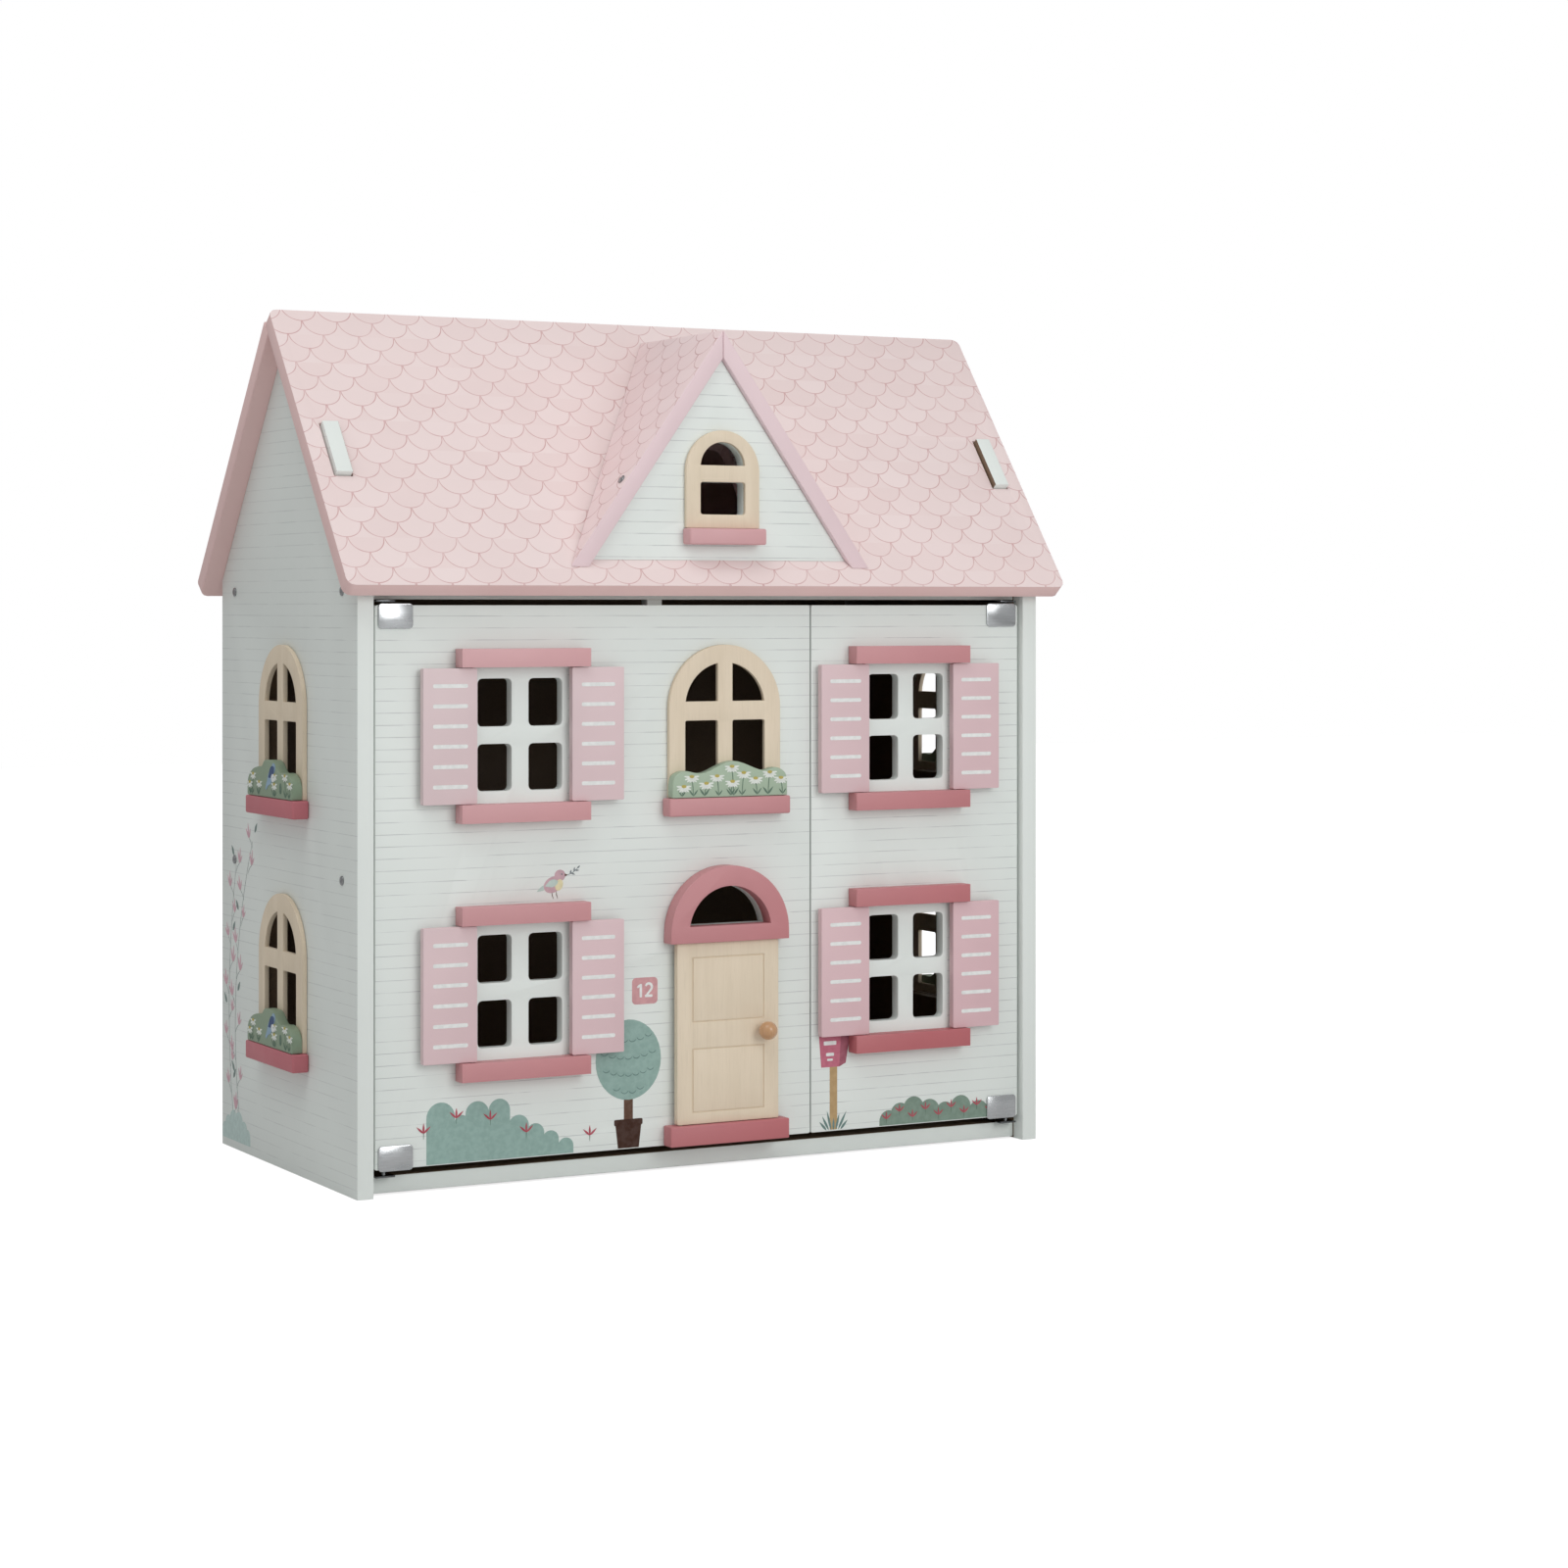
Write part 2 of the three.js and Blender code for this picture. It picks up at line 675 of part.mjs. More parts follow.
function addDoorHardware(name, door) {
  add(house, `${name}_door_upper_plate`, cornerPlate(door, 1), steel);
  add(house, `${name}_door_lower_plate`, cornerPlate(door, -1), steel);
  add(house, `${name}_door_upper_pivot`, pivotBracket(door, 1), steel);
  add(house, `${name}_door_lower_pivot`, pivotBracket(door, -1), steel);
}

// ---- Entrance: fanlight, doorstep and entrance door ----
const fanHalf = 48.7;
const fanBase = 166.8;
const fanTop = 222.3;
const fanCentre = fanTop - fanHalf;
const fanPaneRadius = 34;
const fanPaneBase = 178.7;
const stepTop = 33.7;
const stepHalf = 49;
const doorwayHalf = 35; // the opening behind the entrance door
const doorwayLow = stepTop + 6;
const doorwayHigh = fanBase - 4;
const leafHalf = 41.9;
const leafThicknessY = 5;
const entrancePivotInset = 4;
const entrancePivotX = entranceX - leafHalf + entrancePivotInset;
const entrancePivotY = doorFaceY - pivotDepth;

function fanlightPane() {
  return domeOutline(entranceX, fanCentre, fanPaneRadius, fanPaneBase);
}

function fanlight() {
  const outline = archOutline(entranceX, 2 * fanHalf, fanBase, fanTop);
  const block = frontPlate(outline, [fanlightPane()], doorFaceY - gap - blockDepth, blockDepth);
  const bore = bar(entrancePivotX, entrancePivotY, fanBase - 1, fanBase + pinLength + 1, pinBore, 12);
  return cut(block, bore);
}

function doorstep() {
  const x0 = entranceX - stepHalf;
  const x1 = entranceX + stepHalf;
  const back = doorFaceY - gap;
  const block = box(x0, x1, back - blockDepth, back, doorBottom, stepTop);
  const bore = bar(entrancePivotX, entrancePivotY, stepTop - pinLength - 1, stepTop + 1, pinBore, 12);
  return cut(block, bore);
}

// Two panels are outlined on the leaf's face by fine grooves.
function entranceDoor() {
  const low = stepTop + swingGap;
  const high = fanBase - swingGap;
  const front = entrancePivotY - leafThicknessY / 2;
  const outline = roundedRect(entranceX - leafHalf, entranceX + leafHalf, low, high, 1);
  const leaf = frontPlate(outline, [], front, leafThicknessY);
  const grooveHalf = 29.8;
  const grooveWidth = 0.9;
  const grooveDepth = 0.8;
  const panels = [
    [42.4, 89.4],
    [108.5, 156.1],
  ];
  const grooves = panels.map(([z0, z1]) => {
    const x0 = entranceX - grooveHalf;
    const x1 = entranceX + grooveHalf;
    const ring = [point(x0, z0), point(x1, z0), point(x1, z1), point(x0, z1)];
    const hole = [
      point(x0 + grooveWidth, z0 + grooveWidth),
      point(x1 - grooveWidth, z0 + grooveWidth),
      point(x1 - grooveWidth, z1 - grooveWidth),
      point(x0 + grooveWidth, z1 - grooveWidth),
    ];
    return frontPlate(ring, [hole], front - 1, 1 + grooveDepth);
  });
  const lowPin = bar(entrancePivotX, entrancePivotY, low - pinLength, low + pinRoot, pinRadius, 12);
  const highPin = bar(entrancePivotX, entrancePivotY, high - pinRoot, high + pinLength, pinRadius, 12);
  return join(cut(leaf, ...grooves), lowPin, highPin);
}

// A turned ball on a short neck, pointing to -Y.
function knob() {
  const ball = 7;
  const neck = 3.2;
  const neckLength = 2;
  const profile = [point(0, 0), point(neck, 0), point(neck * 0.8, neckLength)];
  const centre = neckLength + ball * 0.93;
  const start = -Math.PI / 2 + 0.42; // where the ball meets the neck
  profile.push(...arc(0, centre, ball, start, Math.PI / 2, 10).slice(0, -1));
  profile.push(point(0, centre + ball));
  return new THREE.LatheGeometry(profile, 20).rotateX(Math.PI);
}

function addEntrance() {
  add(house, "fanlight", fanlight(), trimPaint);
  add(house, "doorstep", doorstep(), trimPaint);
  add(house, "entrance_door", entranceDoor(), bareWood);
  const handle = add(house, "entrance_door_knob", knob(), knobWood);
  const knobX = 37;
  const knobZ = 100.1;
  handle.position.set(knobX, entrancePivotY - leafThicknessY / 2 - gap, knobZ);
}

function addLeftDoor() {
  const doorwayLeft = entranceX - doorwayHalf;
  const doorwayRight = entranceX + doorwayHalf;
  const doorway = roundedRect(doorwayLeft, doorwayRight, doorwayLow, doorwayHigh, 2);
  const holes = [
    ...windowPanes(leftWindowX, upperWindowBase),
    ...windowPanes(leftWindowX, lowerWindowBase),
    archCutout(entranceX, upperWindowBase),
    fanlightPane(),
    doorway,
  ];
  add(house, "left_door_panel", doorPanel(doors.left, holes), whitePaint);
  addDoorHardware("left", doors.left);
  addShutteredWindow(leftWindowX, upperWindowBase, "upper_left_window");
  addShutteredWindow(leftWindowX, lowerWindowBase, "lower_left_window");
  const archWall = addGroup(house, entranceX, doorFaceY, upperWindowBase);
  addArchedWindow(archWall, "arched_window", meadowHedge());
  addEntrance();
}

function addRightDoor() {
  const holes = [
    ...windowPanes(rightWindowX, upperWindowBase),
    ...windowPanes(rightWindowX, lowerWindowBase),
  ];
  add(house, "right_door_panel", doorPanel(doors.right, holes), whitePaint);
  addDoorHardware("right", doors.right);
  addShutteredWindow(rightWindowX, upperWindowBase, "upper_right_window");
  addShutteredWindow(rightWindowX, lowerWindowBase, "lower_right_window");
}

addCarcass();
addRoof();
addLeftDoor();
addRightDoor();

export default house;
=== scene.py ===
"""The looks of a wooden dollhouse: paint, wood, painted pictures, screws, light and camera.

Lengths are in metres in the frame's own axes: X to the right along the front, the front faces -Y.
The pictures on the walls are drawn in millimetres on a wall's own right and up directions.
"""
import math
import random

import bmesh
import bpy
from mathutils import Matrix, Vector


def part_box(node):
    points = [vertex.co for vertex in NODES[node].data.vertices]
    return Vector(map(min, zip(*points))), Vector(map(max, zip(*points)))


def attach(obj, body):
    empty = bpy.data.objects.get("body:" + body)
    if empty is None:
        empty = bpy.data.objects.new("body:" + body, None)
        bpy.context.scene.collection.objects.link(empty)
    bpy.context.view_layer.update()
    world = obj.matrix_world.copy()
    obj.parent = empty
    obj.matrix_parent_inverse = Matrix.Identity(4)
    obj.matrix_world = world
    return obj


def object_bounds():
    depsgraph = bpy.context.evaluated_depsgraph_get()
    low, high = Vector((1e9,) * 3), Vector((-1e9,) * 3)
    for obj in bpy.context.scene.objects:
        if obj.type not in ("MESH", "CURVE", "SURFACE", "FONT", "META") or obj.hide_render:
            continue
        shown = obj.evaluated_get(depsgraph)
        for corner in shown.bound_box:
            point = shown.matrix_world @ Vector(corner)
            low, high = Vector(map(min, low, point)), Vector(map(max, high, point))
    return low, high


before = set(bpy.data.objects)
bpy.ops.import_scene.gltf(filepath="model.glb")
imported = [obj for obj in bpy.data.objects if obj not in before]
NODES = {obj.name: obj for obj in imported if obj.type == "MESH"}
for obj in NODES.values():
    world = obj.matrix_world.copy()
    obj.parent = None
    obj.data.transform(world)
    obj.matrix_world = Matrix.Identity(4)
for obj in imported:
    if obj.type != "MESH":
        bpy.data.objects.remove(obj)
cad_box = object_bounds()

MM = 0.001
X_AXIS, Y_AXIS, Z_AXIS = (1, 0, 0), (0, 1, 0), (0, 0, 1)
LEFT_DOOR_LOW, LEFT_DOOR_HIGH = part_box("left_door_panel")
SIDE_LOW, SIDE_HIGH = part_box("side_panel_left")
RIGHT_SIDE_LOW, RIGHT_SIDE_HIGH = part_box("side_panel_right")
ROOF_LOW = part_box("front_roof_panel")[0]
DORMER_LOW, DORMER_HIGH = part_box("dormer_roof_left")

BOARD = SIDE_HIGH.x - SIDE_LOW.x  # thickness of the side panels, floors and roof panels
ROOF_PITCH = math.radians(51.8)
DORMER_PITCH = math.atan2(DORMER_HIGH.z - DORMER_LOW.z, DORMER_HIGH.x - DORMER_LOW.x)
HAIR = 0.1 * MM  # how near to a face a point counts as on it
SKIN = 1.0 * MM  # depth of the painted rim round an unpainted opening
SHARP = math.radians(30)  # edges sharper than this are sanded round, and the others are shaded smooth
LINTEL_LAP = 5 * MM  # how far the plain ground of a window goes on behind its lintel

SIDING_PITCH = 8.5 * MM
SIDING_LINE = 0.5 * MM
SIDING_WOBBLE = 0.9 * MM
SIDING_STROKES = 26.0  # strokes per metre of a course
SIDING_ROW_STEP = 7.3  # moves each course to strokes of its own

SCALE_WIDTH = 27.4 * MM
SCALE_HEIGHT = 13.6 * MM
SCALE_CHORD = 0.995 * SCALE_WIDTH
SCALE_RADIUS = SCALE_HEIGHT - 0.4 * MM
SCALE_LINE = 0.1 * MM  # least half width of a printed line
SCALE_WOBBLE = 0.35 * MM
SCALE_FOOT = 1.5 * MM  # height of the lowest course above the eave
SCALE_SHIFT = 38.4 * MM

# The satin trims are paler towards the house's upper left: a painted sheen, the pink washed out as if by a
# lamp's glare.
SHEEN_DIRECTION = (-0.8, 0, 1.05)
SHEEN_START = 0.05
SHEEN_SPAN = 0.6

SCREW_RISE = 0.65 * MM  # how far a screw's middle stands out of its board
SCREW_INSET = 29 * MM  # from the ends of a side panel
BOLT_INSET = 9 * MM  # from the front edge of the dormer's roof boards
BOLT_SHARE = 0.365  # of the way up the dormer's roof boards

# The pictures are measured in millimetres.
GROUND = LEFT_DOOR_LOW.z / MM + 0.6  # the painted ground line of the doors
STEM_FOOT = 1.2
SLATS = 6
SLAT_PITCH = 14.2
SLAT_LEFT, SLAT_RIGHT = -13.2, 13.3
SLAT_HALF_HEIGHT = 1.4

FLOOR_HALF = 6.0
FLOOR_DROP = 0.6 * MM  # keeps the floor's face clear of the faces that the house rests on
FLOOR_GLOW = 0.8
WORLD_LIGHT = 0.45
KEY_POWER = 13.0
TOP_POWER = 15.0
CAMERA_PLACE = (-1.131, -2.312, 0.4133)
CAMERA_TURN = -28.7
CAMERA_LENS = 76.5
CAMERA_SHIFT = -0.114


# ---- Colours ----
def srgb(red, green, blue):
    """A colour given as 0..255 display values, as linear light by the sRGB curve."""
    channels = (red, green, blue)
    return tuple(((c / 255 + 0.055) / 1.055) ** 2.4 if c > 10 else c / 3295 for c in channels)


def darker(colour, share):
    return tuple(c * (1 - share) for c in colour)


def lighter(colour, share):
    return tuple(c + (1 - c) * share for c in colour)


WALL_WHITE = srgb(233, 239, 235)
WALL_LINE = srgb(186, 190, 190)
ROOF_BASE = srgb(238, 218, 216)
ROOF_LINE = srgb(204, 158, 158)
ROOF_EDGE = srgb(240, 205, 202)
# Paler than the main roof's pink: painted light on the dormer's roof boards.
DORMER_LIT_BASE = srgb(250, 226, 226)
DORMER_EDGE = srgb(236, 212, 216)
# The pale trim colour is the pink washed out by a painted sheen. The deep one is nearer the paint's own
# colour.
TRIM_SHEEN_PALE = srgb(220, 173, 176)
TRIM_DEEP = srgb(189, 105, 110)
SIDE_SILL_PINK = srgb(198, 114, 123)
# Pale and deep shutter pinks, for the same painted sheen as the trims.
SHUTTER_SHEEN_PALE = srgb(227, 206, 208)
SHUTTER_DEEP = srgb(224, 188, 193)
HEDGE_GREEN = srgb(169, 188, 165)
# The side hedges' green is a darker copy of the front hedge's: painted shade on the house's sides.
SIDE_HEDGE_SHADED_GREEN = srgb(142, 161, 137)
BARE_WOOD = srgb(232, 216, 191)
# Bare board in the rooms and in the side windows' openings: a brown made dark partly as painted shade, so
# that the rooms look dark through the panes.
ROOM_BROWN_AND_SHADE = srgb(126, 104, 82)
KNOB_WOOD = srgb(198, 152, 108)
STEEL_GREY = srgb(205, 208, 210)
# Darker steel for the door pivots: painted shade, as they sit in the dark gaps above and below the doors.
PIVOT_SHADED_GREY = srgb(110, 112, 114)
SCREW_GREY = srgb(165, 166, 168)
LIGHT_WHITE = (1.0, 1.0, 1.0, 1.0)
FLOOR_GREY = (0.7, 0.7, 0.7)
FLOOR_PALE = (0.73, 0.73, 0.73)


# ---- Node trees ----
class Tree:
    """One material's nodes. The methods that add nodes return the output socket of the last of them.

    Only feed returns nothing, and finish returns the material.
    """

    def __init__(self, name, roughness=0.55, metallic=0.0):
        self.material = bpy.data.materials.new(name)
        self.material.use_nodes = True
        self.nodes = self.material.node_tree.nodes
        self.links = self.material.node_tree.links
        self.nodes.clear()
        output = self.nodes.new("ShaderNodeOutputMaterial")
        self.shader = self.nodes.new("ShaderNodeBsdfPrincipled")
        self.shader.inputs["Roughness"].default_value = roughness
        self.shader.inputs["Metallic"].default_value = metallic
        self.links.new(self.shader.outputs[0], output.inputs["Surface"])
        self.place = self.nodes.new("ShaderNodeTexCoord").outputs["Object"]

    def feed(self, socket, value):
        if isinstance(value, bpy.types.NodeSocket):
            self.links.new(value, socket)
        else:
            socket.default_value = value

    def math(self, operation, *values, clamp=False):
        node = self.nodes.new("ShaderNodeMath")
        node.operation = operation
        node.use_clamp = clamp
        for socket, value in zip(node.inputs, values):
            self.feed(socket, value)
        return node.outputs[0]

    def dot(self, vector, direction):
        node = self.nodes.new("ShaderNodeVectorMath")
        node.operation = "DOT_PRODUCT"
        self.feed(node.inputs[0], vector)
        node.inputs[1].default_value = direction
        return node.outputs["Value"]

    def stretch(self, vector, scale):
        node = self.nodes.new("ShaderNodeVectorMath")
        node.operation = "MULTIPLY"
        self.feed(node.inputs[0], vector)
        node.inputs[1].default_value = scale
        return node.outputs["Vector"]

    def vector(self, x, y):
        node = self.nodes.new("ShaderNodeCombineXYZ")
        for socket, value in zip(node.inputs, (x, y)):
            self.feed(socket, value)
        return node.outputs[0]

    def noise(self, vector, scale, detail=3.0, roughness=0.5):
        node = self.nodes.new("ShaderNodeTexNoise")
        self.feed(node.inputs["Vector"], vector)
        node.inputs["Scale"].default_value = scale
        node.inputs["Detail"].default_value = detail
        node.inputs["Roughness"].default_value = roughness
        return node.outputs["Fac"]

    def random(self, vector):
        node = self.nodes.new("ShaderNodeTexWhiteNoise")
        self.feed(node.inputs["Vector"], vector)
        return node.outputs["Value"]

    def opposite(self, mask):
        return self.math("SUBTRACT", 1.0, mask)

    def ramp(self, value, start, end, low=0.0, high=1.0):
        """Goes smoothly from low to high while the value goes from start to end."""
        node = self.nodes.new("ShaderNodeMapRange")
        node.interpolation_type = "SMOOTHSTEP"
        for socket, number in zip(node.inputs, (value, start, end, low, high)):
            self.feed(socket, number)
        return node.outputs[0]

    def mix(self, factor, first, second):
        node = self.nodes.new("ShaderNodeMix")
        node.data_type = "RGBA"
        self.feed(node.inputs[0], factor)
        for socket, colour in ((node.inputs[6], first), (node.inputs[7], second)):
            self.feed(socket, colour if isinstance(colour, bpy.types.NodeSocket) else (*colour, 1.0))
        return node.outputs[2]

    def worn_edge(self, radius):
        """1 along sharp edges, 0 on flat ground."""
        rounded = self.nodes.new("ShaderNodeBevel")
        rounded.samples = 4
        rounded.inputs["Radius"].default_value = radius
        geometry = self.nodes.new("ShaderNodeNewGeometry")
        node = self.nodes.new("ShaderNodeVectorMath")
        node.operation = "DOT_PRODUCT"
        self.links.new(rounded.outputs[0], node.inputs[0])
        self.links.new(geometry.outputs["Normal"], node.inputs[1])
        return self.ramp(node.outputs["Value"], 0.995, 0.9)

    def finish(self, colour, height=None, bump=0.1, depth=0.2 * MM, roughness=None):
        self.feed(self.shader.inputs["Base Color"], colour)
        if height is not None:
            node = self.nodes.new("ShaderNodeBump")
            node.inputs["Strength"].default_value = bump
            node.inputs["Distance"].default_value = depth
            self.feed(node.inputs["Height"], height)
            self.links.new(node.outputs[0], self.shader.inputs["Normal"])
        if roughness is not None:
            self.feed(self.shader.inputs["Roughness"], roughness)
        return self.material


# ---- Paint, wood and metal ----
def sprayed(tree, colour, spread=0.05):
    """The colour of satin paint over sanded board: soft blotches, fine specks and slightly worn edges."""
    blotches = tree.ramp(tree.noise(tree.place, 14.0), 0.3, 0.7)
    body = tree.mix(blotches, darker(colour, spread), colour)
    specks = tree.ramp(tree.noise(tree.place, 700.0, 2.0), 0.66, 0.74, 0.0, 0.35)
    speckled = tree.mix(specks, body, darker(colour, 2.2 * spread))
    patches = tree.ramp(tree.noise(tree.place, 90.0), 0.4, 0.7)
    worn = tree.math("MULTIPLY", tree.worn_edge(0.9 * MM), patches)
    return tree.mix(tree.math("MULTIPLY", worn, 0.5), speckled, lighter(colour, 0.22))


def peel(tree):
    """The height of a fine orange peel."""
    return tree.math("ADD", tree.noise(tree.place, 850.0, 2.0), tree.noise(tree.place, 190.0, 2.0))


def trim_paint(name, pale, deep):
    """Pink paint with a painted sheen: paler, as if washed out by glare, towards the house's upper left
    than towards its lower right.
    """
    tree = Tree(name)
    across = tree.math("ADD", tree.dot(tree.place, SHEEN_DIRECTION), SHEEN_START)
    share = tree.math("DIVIDE", across, SHEEN_SPAN, clamp=True)
    colour = tree.mix(share, sprayed(tree, deep), sprayed(tree, pale))
    return tree.finish(colour, peel(tree), 0.12, roughness=paint_roughness(tree, 0.5))


def paint_roughness(tree, base):
    return tree.ramp(tree.noise(tree.place, 40.0), 0.2, 0.8, base - 0.06, base + 0.08)


def plain_paint(name, colour):
    tree = Tree(name)
    return tree.finish(sprayed(tree, colour), peel(tree), 0.12, roughness=paint_roughness(tree, 0.5))


def near_plane(tree, axis, place, reach=HAIR):
    """1 on the part of a body within reach of the plane across axis at place."""
    offset = tree.math("SUBTRACT", tree.dot(tree.place, axis), place)
    return tree.math("LESS_THAN", tree.math("ABSOLUTE", offset), reach)


def inside(tree, value, low, high):
    above = tree.math("GREATER_THAN", value, low)
    return tree.math("MULTIPLY", above, tree.math("LESS_THAN", value, high))


def inside_box(tree, along, height, box):
    """1 within a box given by its two ends along the wall, its foot and its top."""
    start, end, foot, top = box
    return tree.math("MULTIPLY", inside(tree, along, start, end), inside(tree, height, foot, top))


def siding_lines(tree, along, base):
    """Thin level strokes, each with its own breaks, wobble and taper, one in the middle of every course."""
    height = tree.dot(tree.place, Z_AXIS)
    wobble = tree.math("MULTIPLY", tree.math("SUBTRACT", tree.noise(tree.place, 9.0), 0.5), SIDING_WOBBLE)
    above_base = tree.math("SUBTRACT", tree.math("ADD", height, wobble), base)
    course = tree.math("DIVIDE", above_base, SIDING_PITCH)
    row = tree.math("FLOOR", course)
    offset = tree.math("ABSOLUTE", tree.math("SUBTRACT", tree.math("FRACT", course), 0.5))
    run = tree.math("MULTIPLY", along, SIDING_STROKES)
    spot = tree.vector(run, tree.math("MULTIPLY", row, SIDING_ROW_STEP))
    half = tree.ramp(tree.noise(spot, 1.0), 0.36, 0.56, 0.0, 0.5 * SIDING_LINE / SIDING_PITCH)
    return tree.ramp(tree.math("SUBTRACT", half, offset), -0.012, 0.004)


def bare_board(tree, colour):
    """The brown, slightly flecked face of an unpainted fibreboard."""
    flecks = tree.ramp(tree.noise(tree.place, 800.0, 3.0), 0.35, 0.7)
    body = tree.mix(flecks, darker(colour, 0.2), colour)
    stains = tree.ramp(tree.noise(tree.place, 11.0), 0.35, 0.7, 0.0, 0.5)
    return tree.mix(stains, body, darker(colour, 0.18))


def lined_board(name, axis, faces):
    """White paint all over a board but for its bare faces towards the rooms, which are dark brown, partly
    as painted shade.
    """
    tree = Tree(name)
    bare = near_plane(tree, axis, faces[0])
    for face in faces[1:]:
        bare = tree.math("MAXIMUM", bare, near_plane(tree, axis, face))
    colour = tree.mix(bare, sprayed(tree, WALL_WHITE, 0.02), bare_board(tree, ROOM_BROWN_AND_SHADE))
    return tree.finish(colour, peel(tree), 0.12, roughness=paint_roughness(tree, 0.6))


def sided_wall(name, axis, face, inner_face, strength, plain_boxes=(), bare_boxes=()):
    """White paint with printed weatherboard lines on the outer face, and none inside the plain boxes.

    The face towards the rooms and the cut faces of the openings inside the bare boxes are unpainted, in a
    dark brown that is partly painted shade.
    """
    tree = Tree(name)
    along = tree.dot(tree.place, X_AXIS if axis == Y_AXIS else Y_AXIS)
    height = tree.dot(tree.place, Z_AXIS)
    printed = near_plane(tree, axis, face)
    for box in plain_boxes:
        printed = tree.math("MULTIPLY", printed, tree.opposite(inside_box(tree, along, height, box)))
    line = tree.math("MULTIPLY", siding_lines(tree, along, LEFT_DOOR_LOW.z), printed)
    faded = tree.ramp(tree.noise(tree.place, 30.0), 0.3, 0.7, 0.45 * strength, strength)
    painted = tree.mix(tree.math("MULTIPLY", line, faded), sprayed(tree, WALL_WHITE, 0.02), WALL_LINE)
    doors_back = LEFT_DOOR_HIGH.y - 2 * HAIR
    behind_doors = tree.math("GREATER_THAN", tree.dot(tree.place, Y_AXIS), doors_back)
    bare = tree.math("MULTIPLY", near_plane(tree, axis, inner_face), behind_doors)
    below_skin = tree.opposite(near_plane(tree, axis, face, SKIN))
    for box in bare_boxes:
        cut_face = tree.math("MULTIPLY", inside_box(tree, along, height, box), below_skin)
        bare = tree.math("MAXIMUM", bare, cut_face)
    colour = tree.mix(bare, painted, bare_board(tree, ROOM_BROWN_AND_SHADE))
    return tree.finish(colour, peel(tree), 0.1, roughness=paint_roughness(tree, 0.5))


def scale_pattern(tree, along, up):
    """Rows of fish scales: 1 on the printed line, and a random tone for each scale."""
    course = tree.math("DIVIDE", tree.math("SUBTRACT", up, SCALE_FOOT), SCALE_HEIGHT)
    row = tree.math("FLOOR", course)
    rise = tree.math("MULTIPLY", tree.opposite(tree.math("FRACT", course)), SCALE_HEIGHT)
    half_step = tree.math("MULTIPLY", tree.math("FLOORED_MODULO", row, 2.0), 0.5)
    shifted = tree.math("DIVIDE", tree.math("ADD", along, SCALE_SHIFT), SCALE_WIDTH)
    column = tree.math("ADD", shifted, half_step)
    centred = tree.math("SUBTRACT", tree.math("FRACT", column), 0.5)
    run = tree.math("MULTIPLY", centred, SCALE_CHORD)
    squares = tree.math("ADD", tree.math("MULTIPLY", run, run), tree.math("MULTIPLY", rise, rise))
    beyond = tree.math("SUBTRACT", tree.math("SQRT", squares), SCALE_RADIUS)
    wobble = tree.math("MULTIPLY", tree.noise(tree.place, 120.0), SCALE_WOBBLE)
    half_width = tree.math("ADD", wobble, SCALE_LINE)
    within = tree.math("SUBTRACT", half_width, tree.math("ABSOLUTE", beyond))
    line = tree.ramp(within, -0.2 * MM, 0.1 * MM)
    own = tree.random(tree.vector(tree.math("FLOOR", column), row))
    below_column = tree.math("FLOOR", tree.math("ADD", column, 0.5))
    below = tree.random(tree.vector(below_column, tree.math("SUBTRACT", row, 1.0)))
    outside = tree.math("GREATER_THAN", beyond, 0.0)
    own_share = tree.math("MULTIPLY", own, tree.opposite(outside))
    tone = tree.math("ADD", own_share, tree.math("MULTIPLY", below, outside))
    return line, tone


def scaled_roof(name, along_axis, slope, normal, foot, base, edge_colour):
    """Roof paint with printed scales on the face that lies along slope through foot."""
    tree = Tree(name)
    along = tree.dot(tree.place, along_axis)
    up = tree.math("SUBTRACT", tree.dot(tree.place, slope), Vector(slope).dot(foot))
    out = tree.math("SUBTRACT", tree.dot(tree.place, normal), Vector(normal).dot(foot))
    face = tree.math("LESS_THAN", tree.math("ABSOLUTE", out), 1.5 * HAIR)
    line, tone = scale_pattern(tree, along, up)
    scales = tree.mix(tone, sprayed(tree, base, 0.03), lighter(base, 0.12))
    ground = tree.mix(face, sprayed(tree, edge_colour, 0.03), scales)
    worn = tree.ramp(tree.noise(tree.place, 60.0), 0.3, 0.7, 0.6, 0.95)
    printed = tree.math("MULTIPLY", tree.math("MULTIPLY", line, face), worn)
    colour = tree.mix(printed, ground, ROOF_LINE)
    return tree.finish(colour, peel(tree), 0.1, roughness=paint_roughness(tree, 0.5))


def wood(name, colour, base=0.55, coat=0.0):
    """Bare or varnished wood with upright fibres."""
    tree = Tree(name)
    tree.shader.inputs["Coat Weight"].default_value = coat
    along_fibres = tree.stretch(tree.place, (1.0, 1.0, 0.06))
    fibres = tree.noise(along_fibres, 900.0, 4.0, 0.6)
    bands = tree.noise(along_fibres, 140.0, 3.0)
    blotches = tree.noise(tree.place, 25.0)
    pale = tree.mix(tree.ramp(bands, 0.3, 0.7), darker(colour, 0.04), lighter(colour, 0.04))
    streaked = tree.mix(tree.ramp(fibres, 0.5, 0.72, 0.0, 0.35), pale, darker(colour, 0.16))
    shaded = tree.mix(tree.ramp(blotches, 0.4, 0.7, 0.0, 0.3), streaked, darker(colour, 0.1))
    edges = tree.math("MULTIPLY", tree.worn_edge(0.8 * MM), 0.25)
    handled = tree.mix(edges, shaded, darker(colour, 0.2))
    shine = tree.ramp(fibres, 0.3, 0.7, base - 0.06, base + 0.1)
    return tree.finish(handled, fibres, 0.3, 0.15 * MM, shine)


